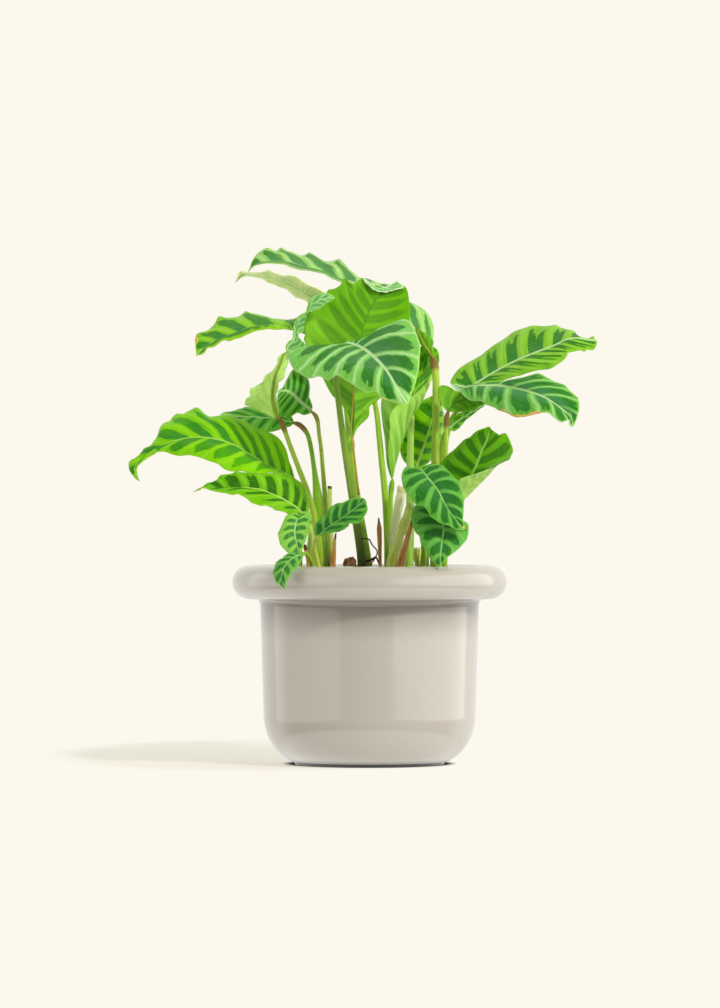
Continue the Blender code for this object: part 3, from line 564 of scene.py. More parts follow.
leaves = {
    "crown_arch": {
        "rib": [(52.3, 42, 341.2), (48, 43, 350.4), (42.8, 45, 358.2), (32.4, 52, 372.4),
            (20.7, 57, 387.1), (5.4, 61, 397.9), (-7.5, 64, 403.1), (-15.2, 65, 404.8),
            (-22.8, 66, 407), (-31.4, 67, 410.8), (-39, 68, 414.1), (-46.7, 68, 416.5),
            (-54.3, 69, 418.5), (-61, 69, 420.4), (-67.7, 70, 422.1), (-75.4, 71, 422.9),
            (-86.9, 73, 422.6), (-93.6, 74, 421.1), (-98.3, 74, 418.5), (-102.2, 75, 414.1)],
        "left": [(46.5, 36, 346.7), (41.7, 33, 353.8), (37.3, 31, 362.2), (31.3, 32, 369.4),
            (24.7, 35, 375.8), (17.2, 37, 381.3), (9.4, 40, 386.6), (1.4, 41, 391.2), (-7, 43, 395.5),
            (-15.7, 45, 400.6), (-22.7, 46, 404.6), (-31.3, 47, 408.1), (-37, 48, 410.7),
            (-42.7, 49, 412.4), (-50.3, 50, 413.9), (-57.9, 51, 415.4), (-65.6, 54, 417.6),
            (-72.3, 56, 419.9), (-81.9, 61, 420.6), (-88.6, 64, 421), (-96.3, 69, 419.5),
            (-99.7, 72, 417)],
        "right": [(53.3, 47, 347.5), (52.9, 54, 352.4), (53.9, 59, 361.2), (53.7, 63, 367),
            (52.1, 67, 372.9), (48.8, 71, 378.7), (45.1, 75, 382.7), (39.3, 78, 387.1),
            (32.7, 83, 390.2), (25.1, 86, 396.5), (18.4, 89, 401.9), (15.5, 90, 403.4),
            (10.7, 91, 403.9), (5.9, 92, 405.6), (1.1, 92, 407.8), (-2.7, 93, 409.7), (-8.5, 94, 409.7),
            (-12.3, 94, 412.7), (-16.2, 95, 416.1), (-20, 96, 420.1), (-23.9, 96, 423.6),
            (-26, 96, 425.4), (-28.2, 96, 424.6), (-31.5, 96, 423.6), (-35.4, 96, 423.6),
            (-38.7, 96, 424.5), (-43.1, 96, 428), (-46.9, 96, 430.5), (-50.8, 96, 432.1),
            (-53.6, 95, 430.2), (-56.5, 95, 429), (-60.3, 94, 429.3), (-64.2, 94, 430.9),
            (-69, 93, 432.1), (-72.8, 92, 434), (-75.2, 91, 435.1), (-76.8, 90, 433.3),
            (-79.5, 89, 432.3), (-82.3, 87, 433.7), (-85.2, 86, 435), (-88, 84, 434.5),
            (-91.8, 82, 432), (-96.5, 80, 427.4), (-98.9, 78, 423), (-100.5, 77, 418.2)],
        "bulge": (1.5, 2.5), "wave": (0.8, 5), "pitch": 22, "top": "fresh",
        "veins": {"left": [(-5, 5), (15, 20), (35, 40), (50, 55), (62, 68), (72, 80), (84, 92),
            (97, 100)], "right": [(-14, 4), (-4, 14), (8, 27), (22, 39), (38, 46), (48, 54), (56, 66),
            (69, 80), (80, 86), (90, 93), (99, 99)]},
        "tones": {"light": ("#9CD468", "#98D064"), "bar": ("#307C24", "#28741E"), "vein": "#C4E6A0",
            "rib": "#C2E2A0"},
        "bars": {"light": (0.48, 0.46), "wander": 0.24, "wedge": 0.9, "feather": 0.42}},
    "back_left": {
        "rib": [(-28, 34, 377.9), (-35, 35, 384.5), (-42.8, 37, 389.3), (-50.5, 38, 393.2),
            (-58.9, 39, 398.4), (-67.6, 41, 402.2), (-76.8, 41, 405.7), (-86.2, 42, 408.9),
            (-96, 43, 410.8), (-105.5, 43, 411.2), (-109, 43, 408.3), (-112.2, 43, 404.3)],
        "left": [(-33.8, 42, 378.9), (-40.6, 51, 381), (-48.4, 57, 384.9), (-55.7, 60, 389.5),
            (-61.7, 60, 392.2), (-66.7, 60, 396.3), (-68.7, 60, 398.3), (-74.6, 59, 400),
            (-79.6, 57, 403.2), (-85.1, 56, 404.1), (-87.5, 55, 406.1), (-90.5, 53, 407.7),
            (-100.3, 48, 409.8), (-106.8, 46, 408.4), (-110.2, 44, 406)],
        "right": [(-28.8, 25, 385.1), (-34.5, 19, 392.9), (-44.1, 18, 397.7), (-53.9, 19, 403.5),
            (-62.2, 20, 408.3), (-72.1, 22, 409.4), (-80, 23, 411.6), (-83.8, 24, 413.5),
            (-88, 26, 412.2), (-96.2, 30, 412), (-104.1, 35, 412.4), (-107.9, 37, 413.3),
            (-110.1, 39, 410.6)],
        "bulge": (1, 1.5), "wave": (0.5, 5), "pitch": 9, "slant": 2.4, "bend": 0.3, "top": "fresh",
        "seenFromBelow": True,
        # These very pale underside tones are painted light, lifted against the shade on this
        # downward-facing underside.
        "underTones": {"light": ("#ECF49C", "#F4FAB8"), "bar": "#C4DC78", "vein": "#F4FCD8",
            "rib": "#648C20"},
        "bars": {"rib": (1.1, 0.6)}},
    "centre_back": {
        "rib": [(-14, 2, 271), (-13, 3, 296), (-13, 4, 317), (-7, 8, 359), (2, 13, 383), (10, 19, 393),
            (26, 30, 402)],
        "left": [(-22.3, 9, 299.6), (-31.1, 10, 309), (-41.3, 11, 327.7), (-50.3, 11, 344),
            (-53.1, 11, 351.8), (-54.9, 11, 356), (-53.7, 11, 358.5), (-54.3, 10, 363.3),
            (-53.7, 11, 368.2), (-50.3, 14, 375), (-46, 14, 380.8), (-40.2, 12, 388),
            (-35.8, 10, 393.7), (-34.2, 10, 396.7), (-30, 10, 397.1), (-26.2, 10, 398.8),
            (-23.3, 10, 401.9), (-20.9, 10, 406.2), (-18.5, 10, 403.4), (-15.1, 10, 401.7),
            (-12.4, 11, 401.6), (-9.3, 11, 403.9), (-5.9, 12, 406.2), (-1.6, 13, 403), (3.3, 16, 401),
            (8.1, 17, 399.5), (13, 21, 399.3), (16.8, 23, 400.1), (19.6, 26, 402.7), (22.2, 28, 404.8)],
        "right": [(-10, 5, 281), (-1, 9, 291), (1, 10, 300), (10, 12, 308), (24, 12, 335),
            (33, 12, 371), (33, 18, 388), (31, 26, 398)],
        "bulge": (-4, -4), "wave": (0.8, 6), "pitch": 20, "top": "fresh", "under": "glowing",
        "seenFromBelow": True,
        "veins": {"left": [(0, 10), (14, 26), (28, 40), (42, 50), (52, 59), (60, 66), (65.5, 71.5),
            (71, 76), (78, 81.5), (84, 85), (92, 93)], "right": [(0, 8), (12, 22), (24, 36), (36, 48),
            (46, 60), (55, 70), (64, 78), (72, 85), (81, 92), (90, 97)]},
        "underTones": {"light": ("#90CC3C", "#66B000"), "bar": "#44801C", "vein": "#6CB014"},
        "bars": {"light": (0.36, 0.34), "wedge": 1.2, "rib": (0.9, 0.5), "feather": 0.1}},
    "centre_front": {
        "rib": [(-20, -24, 352), (-7, -48, 346.5), (4, -72, 337.8), (13.3, -94, 327), (21, -112, 314.3),
            (27, -122, 304.5), (30.5, -126, 299)],
        "left": [(-16, -22, 352.5), (-7, -22, 354.5), (5, -24, 358.5), (15, -30, 366.5),
            (23, -38, 369.3), (31, -50, 369), (36, -60, 363), (40.5, -76, 351), (41, -88, 342),
            (39.5, -102, 327), (35, -116, 310)],
        "right": [(-28, -28, 349), (-49, -34, 345), (-67.5, -46, 344.5), (-66, -60, 335.5),
            (-60, -70, 326.5), (-49, -80, 320.3), (-41, -86, 322.7), (-33.5, -92, 319),
            (-28, -96, 322.8), (-17, -104, 317.5), (-3.5, -112, 308.5), (5, -115, 309),
            (10, -118, 303.5), (24, -124, 299.5)],
        "bulge": (4, 6), "wave": (0.9, 6), "pitch": 17, "top": "cool",
        "veins": {"left": [(3, 12), (8, 24), (14, 38), (23, 52), (42, 72), (62, 84), (84, 97)],
            "right": [(-3, 12), (1, 30), (7, 44), (14, 53), (26, 65), (36, 74), (58, 87), (82, 98)]},
        "tones": {"light": ("#84CC60", "#74C044"), "bar": ("#28782C", "#186414"), "ribBar": "#2E7A44",
            "vein": "#BCE49C", "rib": "#C0E6A0"},
        "bars": {"light": (0.3, 0.44), "narrowFrom": 0.6, "reach": 1, "rib": (2.2, 0.9), "wedge": 0.8,
            "veinWidth": 0.16, "margin": 2.2, "feather": 0.34, "wander": 0.2},
        "scorch": [(37, 363.5, 6), (45.5, 335, 5), (10.5, 298.8, 4.5)]},
    "left_twisted": {
        "rib": [(-75.1, -8, 290), (-78.7, -8, 299.8), (-79.7, -8, 307.7), (-79.5, -8, 314.5),
            (-78.3, -8, 321.4), (-76.3, -8, 329.3), (-73.1, -8, 337.2), (-69.3, -8, 344.4)],
        "left": [(-80.6, -3, 290.6), (-91.6, 7, 295.9), (-100, 8, 299.6), (-104.4, 8, 300.9),
            (-102.4, 7, 305.5), (-99.1, 7, 307.8), (-99, 6, 313.7), (-93.5, 4, 316.8),
            (-88.5, 1, 319.7), (-87.1, 0, 324.4), (-80.6, -1, 329.3), (-76.6, -2, 334.4),
            (-76, -3, 339.3), (-72.7, -4, 342.6)],
        "right": [(-75, -6, 294.9), (-76.6, -3, 303.8), (-77.2, 0, 311.8), (-75.5, 2, 318.2),
            (-72.3, 4, 322.5), (-69.8, 4, 328.1), (-68.3, 4, 333.5), (-67.9, 3, 339.4)],
        "bulge": (-2, 0), "wave": (0.6, 5), "pitch": 12, "top": "cool", "seenFromBelow": True,
        "underTones": {"light": ("#C0EC68", "#C8F080"), "bar": "#B4E45C", "vein": "#C4E88C",
            "rib": "#7FA822"},
        "bars": {"rib": (1.9, 1.2), "light": (0.6, 0.6)}},
    "left_upper": {
        "rib": [(-36.1, 32, 350), (-40.5, 32, 354.4), (-45, 32, 358.3), (-55.1, 28, 363),
            (-65.7, 21, 363.8), (-72.9, 21, 365.2), (-77.8, 20, 365), (-89.9, 19, 364.7),
            (-101.2, 18, 363.9), (-110.4, 17, 360.8), (-116.2, 16, 358.9), (-122.8, 15, 356.4),
            (-132.8, 13, 351.3), (-139.4, 12, 346.3), (-144.1, 12, 341.6)],
        "left": [(-40.5, 28, 350.3), (-45.9, 25, 352.7), (-50.9, 23, 357.2), (-54.6, 21, 360.5),
            (-60.4, 18, 361), (-65.3, 13, 363.1), (-76.1, 8, 363.5), (-85.2, 6, 364), (-89.3, 5, 362.9),
            (-97.6, 4, 360.4), (-105.9, 4, 357.9), (-112.6, 4, 355.4), (-116.7, 4, 353.7),
            (-120.9, 4, 354.1), (-125.9, 6, 351.3), (-130.1, 8, 348.7), (-135.1, 9, 347.9),
            (-136.8, 10, 344.6), (-139.3, 10, 342.7), (-142.6, 12, 342.1)],
        "right": [(-36.1, 36, 356.3), (-39.3, 42, 369.1), (-43.9, 44, 376.5), (-49, 46, 379.1),
            (-54, 47, 378.5), (-58.2, 47, 376.8), (-61.6, 48, 374.2), (-69.1, 49, 373.2),
            (-77.6, 50, 372.9), (-81.8, 50, 372.9), (-90.1, 50, 375.7), (-95.2, 49, 377),
            (-100.2, 49, 378.1), (-103.5, 48, 380.4), (-105.2, 47, 379.3), (-107.7, 47, 376.8),
            (-111, 46, 375.3), (-115.2, 45, 374.6), (-119.3, 43, 374.2), (-123.5, 41, 375.2),
            (-125.6, 40, 375.5), (-127.2, 38, 373.6), (-128.4, 36, 370.6), (-130.4, 34, 367.6),
            (-132.9, 32, 365), (-135.7, 28, 362.8), (-139, 26, 361.9), (-142.2, 24, 361.2),
            (-144.2, 21, 359.6), (-145.2, 18, 355.8), (-144.8, 13, 349)],
        "bulge": (3, 3), "wave": (0.6, 4), "pitch": 20, "top": "fresh",
        "veins": {"left": [(-5, 5), (12, 20), (30, 40), (50, 58), (62, 75), (80, 90), (96, 99)],
            "right": [(-12, 6), (4, 16), (18, 27), (36, 46), (57, 66), (71, 81), (84, 91), (97, 99)]},
        "tones": {"light": ("#94D41C", "#80C80C"), "bar": ("#2C7A28", "#2A7A16"), "edge": "#A4C836",
            "ribBar": "#2C7850"},
        "bars": {"light": (0.42, 0.46), "wedge": 1.1, "wander": 0.18, "feather": 0.26},
        "scorch": [(-147, 352, 6), (-148, 345, 6)]},
    "left_broad": {
        "rib": [(-62.1, -4, 239), (-68.4, -5, 242.5), (-76.3, -6, 245.8), (-86.6, -7, 250.5),
            (-92.4, -9, 254.7), (-102.3, -11, 260.7), (-110.5, -12, 266), (-116.3, -13, 268.5),
            (-124.5, -15, 271.2), (-133.7, -17, 272.7), (-142.6, -18, 273.1), (-149.7, -19, 272.6),
            (-159.9, -20, 270.4), (-170.6, -21, 266.1), (-178.9, -22, 260.8), (-185.1, -22, 257.1),
            (-191.3, -22, 252.3), (-193.9, -21, 246.4), (-190.1, -19, 237.1)],
        "left": [(-66.5, -11, 240.2), (-71.7, -16, 242.5), (-79.8, -21, 243.8), (-88, -25, 243.6),
            (-96.2, -28, 243.8), (-106, -31, 244.6), (-111.7, -32, 245.1), (-119.1, -34, 247.1),
            (-124.8, -36, 250.2), (-130.6, -37, 253.2), (-137.1, -38, 256.1), (-145.3, -38, 257.7),
            (-153.6, -37, 258.5), (-161.9, -35, 259.1), (-168.6, -31, 260.7), (-174.5, -29, 261),
            (-177.8, -28, 259.7), (-181.4, -26, 257.9), (-185.8, -24, 254.2), (-190.4, -23, 250.5),
            (-192.3, -22, 247.2), (-191.8, -20, 241.6)],
        "right": [(-64.7, -1, 248.8), (-66.7, 2, 253.6), (-68.6, 6, 260.7), (-71.1, 9, 266.5),
            (-74.5, 11, 272.2), (-80.3, 13, 276.6), (-85.3, 13, 278.2), (-91.1, 13, 279.9),
            (-97.8, 12, 283.2), (-103.6, 11, 288.2), (-106.9, 11, 289), (-115.2, 10, 290.7),
            (-123.5, 10, 291.3), (-130.2, 9, 291.3), (-133.3, 9, 291.5), (-138.5, 9, 294.8),
            (-142.6, 8, 298), (-145.3, 8, 297.9), (-149.2, 7, 295.6), (-155, 5, 292.8),
            (-157.9, 5, 293.5), (-160, 5, 293.5), (-163.2, 2, 291), (-165.6, 1, 287.6),
            (-170.5, -2, 285.1), (-173.7, -5, 281.3), (-175.7, -7, 275.5), (-178.5, -9, 270.9),
            (-180.5, -11, 266.7), (-186.5, -12, 263.7), (-187.9, -13, 261.3), (-192.3, -16, 257.2),
            (-198.5, -17, 253.7), (-199, -18, 248.1), (-197, -18, 243.8), (-193.5, -18, 239.6)],
        "bulge": (4, 4), "wave": (0.8, 7), "pitch": 16, "top": "vivid",
        "veins": {"left": [(-6, 2), (8, 16), (19, 33), (29, 46), (39, 55), (50, 66), (62, 76), (75, 84),
            (88, 94)], "right": [(-2, 8), (4, 17), (9, 27), (16, 36), (24, 42), (32, 50), (44, 60),
            (58, 71), (72, 81), (86, 92)]},
        # The brighter base tones are painted light, lifted against the shade on the blade's base.
        "tones": {"light": ("#90DC08", "#78C600"), "bar": ("#4CA810", "#1F7A14"), "ribBar": "#1E7A30",
            "vein": "#A8E030", "rib": "#9CD84C"},
        "bars": {"light": (0.3, 0.52), "rib": (1.5, 0.8), "wedge": 0.9, "wander": 0.24, "feather": 0.3},
        "scorch": [(-167, 286, 4)]},
    "left_low": {
        "rib": [(-54.1, -26, 208.6), (-59.8, -32, 214.7), (-66.3, -38, 219.1), (-72.9, -41, 222.8),
            (-79.4, -43, 225.7), (-85.9, -46, 228.5), (-92.5, -48, 230.5), (-103.8, -52, 231.4),
            (-113.9, -55, 231), (-124.1, -57, 231.4), (-134.5, -59, 232), (-143, -60, 228.9)],
        "left": [(-59, -33, 207.8), (-63.3, -41, 208.8), (-69.7, -50, 211.2), (-75.9, -57, 213.4),
            (-82.4, -62, 216.1), (-88.9, -65, 217), (-95.4, -67, 219.1), (-101.9, -69, 223.2),
            (-107.6, -70, 225.7), (-112.5, -70, 226.2), (-119, -69, 227.6), (-125.6, -68, 228),
            (-129.8, -66, 229.3), (-135.5, -64, 231.4), (-139.7, -62, 230.4)],
        "right": [(-50.8, -23, 211.7), (-50.7, -20, 220), (-52.9, -20, 228.2), (-56.6, -22, 235.6),
            (-63.2, -26, 239.6), (-69.3, -30, 242.2), (-74.6, -33, 243.5), (-91, -39, 243.6),
            (-102.4, -43, 243.9), (-109.8, -45, 244.9), (-112.2, -46, 243.6), (-115.5, -47, 242.6),
            (-119.6, -49, 242.3), (-122.8, -51, 241.3), (-125.2, -52, 238.4), (-129.3, -54, 236.3),
            (-132.5, -56, 235.5), (-134.5, -57, 234.3), (-136.4, -58, 232.2), (-139.8, -59, 231)],
        "bulge": (3, 3), "wave": (0.5, 5), "pitch": 13, "top": "vivid",
        "veins": {"left": [(-6, 10), (6, 23), (18, 46), (29.5, 61), (43, 74), (62, 83), (80, 92),
            (98, 100)], "right": [(-2, 10), (9, 24), (18, 34), (29, 44), (43, 56), (59, 69), (75, 84),
            (88, 93), (100, 100)]},
        "tones": {"light": ("#80CC08", "#60B000"), "bar": ("#22640A", "#1A5A04"), "vein": "#A0D840",
            "ribBar": "#1F5C0C"},
        "bars": {"light": (0.66, 0.46), "wander": 0.12, "feather": 0.3}},
    "left_nodding": {
        "rib": [(-57.2, -46, 208), (-59.8, -50, 204.2), (-60.9, -52, 200.3), (-61.4, -55, 195.3),
            (-60.7, -58, 190.4), (-59.3, -61, 183.9), (-57.1, -65, 176.7)],
        "left": [(-54.5, -46, 212.1), (-49.2, -47, 210.8), (-47, -48, 206.6), (-48.1, -49, 201.6),
            (-49.5, -53, 198), (-50.9, -56, 193.3), (-52.5, -59, 188.4), (-54.4, -62, 183.1),
            (-56, -64, 178.6)],
        "right": [(-60.5, -47, 210.9), (-64.4, -48, 210.3), (-68.6, -50, 208.5), (-70.1, -52, 205.3),
            (-71.7, -54, 201.9), (-73.3, -56, 197.8), (-75.2, -59, 193.9), (-74.5, -61, 190.3),
            (-73.4, -63, 186.4), (-70.9, -66, 182.2), (-66.1, -67, 178.2), (-61, -67, 176.9)],
        "bulge": (2, 2), "wave": (0.4, 5), "pitch": 8, "top": "fresh",
        "veins": {"left": [(0, 14), (10, 24), (26, 42), (46, 62), (66, 80), (85, 93)], "right": [(0, 8),
            (10, 24), (24, 40), (40, 57), (56, 72), (75, 85), (95, 98)]},
        "tones": {"light": ("#88CC48", "#88C850"), "bar": ("#2F7A34", "#2C742E")},
        "bars": {"light": (0.45, 0.45), "reach": 0.86, "wedge": 1, "rib": (0.9, 0.4)}},
    "over_rim": {
        "rib": [(-55, -86, 176.9), (-59.1, -91, 175.9), (-63.1, -96, 173.8), (-66.3, -100, 171.2),
            (-68.7, -102, 168), (-70.5, -105, 164.4), (-71.4, -106, 160.4), (-71.4, -107, 156.3),
            (-70.7, -108, 152.7), (-69.5, -108, 149.3)],
        "left": [(-54.5, -89, 174.4), (-55.6, -93, 171.8), (-57.4, -96, 169.7), (-59, -101, 167.4),
            (-60.9, -103, 164.9), (-63.8, -107, 161.4), (-66, -110, 157.6), (-67.8, -111, 154.2),
            (-68.6, -110, 150.9)],
        "right": [(-57.4, -86, 177.9), (-60.4, -87, 178.8), (-64.7, -90, 178.3), (-68.1, -92, 176.7),
            (-71.3, -94, 174.4), (-75.3, -96, 170.8), (-77.3, -99, 167.2), (-78.3, -101, 163.9),
            (-77.8, -103, 160.7), (-76.5, -106, 155.9), (-73.5, -107, 153.3), (-71.1, -108, 151.5)],
        "bulge": (1.5, 1.5), "wave": (0.5, 4), "pitch": 7, "top": "deep",
        "veins": {"left": [(0, 15), (20, 38), (45, 60), (65, 80), (85, 93)], "right": [(0, 10),
            (12, 28), (25, 45), (42, 60), (60, 76), (80, 90), (98, 99)]},
        "tones": {"light": ("#6CAE44", "#64A63C"), "bar": ("#2C6E2E", "#28682A")},
        "bars": {"light": (0.48, 0.48), "reach": 0.9, "wedge": 1.1, "rib": (0.9, 0.4)}},
    "small_front": {
        "rib": [(-42.1, -56, 191.7), (-37.4, -58, 196), (-31.6, -61, 200.9), (-24.3, -63, 205.5),
            (-17.7, -65, 210.3), (-12.8, -66, 214), (-7.9, -67, 217.9), (-3.8, -68, 222.4)],
        "left": [(-44.1, -55, 192.9), (-45.3, -55, 197), (-45.2, -55, 199.4), (-43.3, -56, 203.5),
            (-39.9, -58, 206.4), (-35.1, -59, 209.1), (-34.1, -60, 212.6), (-31.5, -60, 216),
            (-26.7, -61, 218.7), (-21.8, -62, 219.3), (-18.4, -63, 221.2), (-14.4, -64, 222.4),
            (-9.5, -66, 222.9), (-5.9, -67, 223.2)],
        "right": [(-38.6, -59, 192.7), (-35.3, -62, 193.7), (-30, -66, 195.2), (-23.4, -69, 196.2),
            (-20.2, -71, 197.9), (-17.7, -72, 200.5), (-16.4, -73, 202.6), (-12.8, -74, 202),
            (-8.7, -74, 202.8), (-6.1, -74, 206.1), (-3.7, -74, 208.5), (-1.7, -72, 213.4),
            (-2.3, -70, 217.5), (-2.8, -69, 220.6)],
        "bulge": (2, 2), "wave": (0.6, 5), "pitch": 8, "top": "deep",
        "veins": {"left": [(-2, 10), (15, 35), (30, 55), (47, 69), (66, 82), (85, 94), (99, 100)],
            "right": [(-8, 8), (5, 25), (29, 54), (52, 75), (70, 86), (88, 95), (100, 100)]},
        "tones": {"light": ("#58A838", "#4E9C30"), "bar": ("#1E6426", "#1A5C20")},
        "bars": {"light": (0.42, 0.5), "reach": 0.95, "wedge": 1.2, "rib": (0.9, 0.4), "feather": 0.3},
        "scorch": [(-2, 222, 5)]},
    "left_behind": {
        "rib": [(-62.9, 22, 286), (-69.4, 23, 287.4), (-75.7, 24, 289.4), (-82.1, 25, 290.3),
            (-88, 26, 290.3), (-93.9, 28, 290.9), (-100.6, 30, 291.2), (-107, 31, 291.3),
            (-113.4, 33, 292), (-120, 35, 292.6), (-126, 36, 291.1)],
        "left": [(-66, 19, 283), (-73, 19, 281), (-84, 20, 278), (-102, 24, 279), (-118, 30, 284)],
        "right": [(-65.3, 27, 291.4), (-70.7, 32, 294.2), (-76.9, 36, 296.2), (-83.6, 40, 298.3),
            (-91, 42, 299.6), (-98.4, 43, 299.7), (-104.3, 43, 299.6), (-107.6, 43, 298.1),
            (-110.1, 43, 297.2), (-116, 42, 295.9), (-119.3, 41, 295.4), (-121.8, 40, 294.9),
            (-123.9, 39, 293.5)],
        "bulge": (2, 2), "wave": (0.4, 4), "pitch": 12, "top": "fresh",
        "veins": {"left": [(-5, 5), (10, 22), (27, 39), (44, 57), (60, 75), (78, 90), (97, 100)],
            "right": [(-4, 14), (4, 34), (16, 52), (32, 70), (54, 86), (80, 96)]},
        # These tones are lifted as painted light against the shade cast on this leaf by left_twisted.
        "tones": {"light": ("#60B81C", "#80D048"), "bar": ("#3C9814", "#1C7030"), "vein": "#B4E48C"},
        "bars": {"light": (0.7, 0.66), "wedge": 1.1, "rib": (1, 0.6), "feather": 0.24}},
    "left_inner": {
        "rib": [(-48.1, 18, 295), (-51.1, 19, 297.6), (-55.4, 19, 301), (-59.6, 20, 305.2),
            (-64.2, 22, 309.9), (-68, 23, 312.2), (-70.5, 24, 312.8), (-73.4, 25, 312.8),
            (-76.2, 26, 311)],
        "left": [(-50.4, 16, 293.3), (-54.5, 12, 292.4), (-59.5, 11, 294.1), (-64.1, 11, 291.8),
            (-67.8, 12, 289.2), (-72.8, 13, 290.7), (-75.8, 16, 294.9), (-76.7, 20, 301.7),
            (-76.8, 25, 307.2)],
        "right": [(-47.7, 20, 300), (-49.2, 24, 304.2), (-50.7, 28, 308.6), (-49.9, 32, 315.3),
            (-50.4, 36, 319.5), (-54.4, 41, 328), (-61.1, 43, 331.3), (-64.4, 42, 330.4),
            (-66.4, 42, 327.9), (-68.2, 40, 324.2), (-70.3, 38, 320), (-72.7, 34, 314.9),
            (-75.2, 31, 313.2)],
        "bulge": (2, 3), "wave": (0.6, 4), "pitch": 7, "top": "fresh",
        "veins": {"left": [(0, 5), (20, 25), (45, 50), (62, 66), (72, 76), (81, 85), (90, 93)],
            "right": [(-5, 10), (8, 24), (21, 35), (39, 51), (54, 60), (70, 69), (80, 80), (92, 92)]},
        "tones": {"light": ("#64B81C", "#78C83C"), "bar": ("#2C7A0C", "#2A6C18"), "vein": "#B4E08C",
            "rib": "#BCE290"},
        "bars": {"light": (0.62, 0.5), "wander": 0.12, "wedge": 1.2, "reach": 1.1, "rib": (2.2, 1.2)}},
    "inner_folded": {
        "rib": [(19, 10, 238), (23, 16, 255), (31, 26, 280), (36, 34, 292), (42, 41, 301),
            (46, 47, 311), (50, 54, 320), (55, 60, 330), (57, 63, 334)],
        "left": [(16, 4, 251), (16, 0, 271), (17, 4, 291), (22, 9, 299), (29, 16, 304), (35, 24, 308),
            (42, 34, 313), (47, 43, 320), (54, 56, 329)],
        "right": [(15, 16, 250), (13, 28, 271), (11, 38, 288), (10, 46, 305), (15, 54, 325),
            (25, 62, 341), (35, 68, 347), (43, 72, 349), (52, 75, 349), (57, 74, 343), (59, 69, 338)],
        "bulge": (4, -4), "wave": (0.8, 4), "pitch": 14, "slant": 0.9, "top": "fresh",
        "seenFromBelow": True,
        "tones": {"light": ("#62AC00", "#6CB800"), "bar": ("#3C8C04", "#3C8A04")},
        "underTones": {"light": ("#6EB41C", "#A8D458"), "bar": "#5CA010", "vein": "#B4DC74",
            "rib": "#C4E09C"},
        "bars": {"light": (0.6, 0.6)}},
    "inner_upright": {
        "rib": [(39, 38, 248), (44, 44, 262), (50, 50, 280), (55, 56, 298), (58, 61, 310)],
        "left": [(33, 40, 250), (27, 44, 258), (25, 50, 272), (28, 58, 288), (35, 64, 298),
            (43, 67, 304), (52, 66, 309)],
        "right": [(43, 44, 248), (52, 54, 256), (60, 64, 270), (63, 70, 288), (61, 68, 302)],
        "bulge": (2, 2), "wave": (0.6, 4), "pitch": 11, "slant": 0.6, "top": "vivid",
        "veins": {"left": [(-8, 2), (6, 14), (22, 29), (40, 47), (62, 68), (86, 91), (104, 104)]},
        "tones": {"light": ("#8CD400", "#88D004"), "bar": ("#3A8C04", "#2E7E0C")},
        "bars": {"light": (0.5, 0.5), "wedge": 1.2, "wander": 0.1}},
    "back_hidden": {
        "rib": [(30, 66, 312), (22, 82, 328), (8, 102, 342), (-8, 120, 348), (-24, 136, 344),
            (-32, 144, 338)],
        "left": [(22, 69, 315), (8, 78, 322), (-8, 92, 329), (-24, 110, 333), (-34, 130, 336)],
        "right": [(34, 76, 320), (32, 94, 336), (22, 116, 352), (6, 134, 360), (-14, 144, 354)],
        "bulge": (3, 3), "wave": (1.4, 5), "pitch": 15, "top": "fresh"},
    "right_upper": {
        "rib": [(80, 30, 313), (90.1, 28, 319.2), (100.4, 26, 325.6), (110.7, 24, 331.6),
            (121, 22, 336.9), (131.9, 19, 341.7), (143.2, 16, 346.2), (154.4, 13, 350.5),
            (163.5, 11, 354.9), (170.9, 9, 356.4), (178.4, 8, 355.3), (189, 4, 354)],
        "left": [(72.3, 32, 315.7), (68, 33, 319), (68.9, 35, 322.9), (72, 37, 327.9), (75.8, 39, 332),
            (83.4, 41, 336.8), (93.2, 43, 342.9), (100.2, 44, 347.8), (106.8, 44, 352.8),
            (113.7, 45, 357.6), (120.4, 45, 362.5), (128.7, 44, 365.1), (137, 42, 367.3),
            (145.1, 38, 367.3), (152.7, 35, 367), (156.4, 34, 367.3), (160.1, 32, 365.3),
            (166.9, 26, 363.6), (170.8, 24, 362.5), (173.1, 21, 359.2), (175.4, 17, 356.4),
            (180.2, 12, 355.4), (183.4, 10, 356.4), (186, 7, 357.8), (187.5, 5, 354.7)],
        "right": [(84.9, 26, 313.2), (90.4, 23, 314.4), (95.8, 21, 316), (101.4, 18, 317.6),
            (112.8, 14, 321.4), (124.3, 10, 325.4), (136, 7, 328), (143.3, 5, 330.3), (148, 4, 330.4),
            (151.6, 3, 331.1), (156.1, 3, 333.7), (160.2, 2, 337.5), (163.6, 2, 340.8),
            (165.2, 2, 343.9), (169.8, 2, 344.7), (174.9, 2, 345.8), (178.1, 2, 344.9),
            (181.4, 2, 346.6), (185.3, 3, 346), (188.5, 3, 349.9)],
        "bulge": (3, 3), "wave": (0.6, 6), "pitch": 15, "top": "fresh",
        "veins": {"left": [(-14, -3), (3, 5), (8, 24), (17, 31), (30, 44), (46, 55), (66, 71), (79, 82),
            (90, 90), (100, 100)], "right": [(-4, 8), (7, 31), (20, 46), (31, 60), (42, 68), (53, 76),
            (62, 84), (72, 92), (80, 97), (90, 100)]},
        "tones": {"light": ("#90D038", "#8ACC24"), "bar": ("#247A28", "#1E6E1E"), "rib": "#C2E69A",
            "ribBar": "#2C7A40"},
        "bars": {"light": (0.48, 0.42), "narrowFrom": 0.72, "reach": 1.06, "wedge": 0.5,
            "rib": (1.7, 0.9), "wander": 0.1, "feather": 0.2}},
    "right_drooping": {
        "rib": [(80, 16, 314), (84.1, 12, 315.2), (88.5, 9, 315.9), (95.1, 5, 316.3), (103.4, 2, 316.3),
            (111.6, -1, 315.3), (119.7, -6, 314), (127.9, -11, 312.4), (136, -17, 309.9),
            (144.1, -22, 306.5), (152.2, -25, 301.3), (160.4, -28, 295), (166.1, -29, 290),
            (167.3, -30, 281.4)],
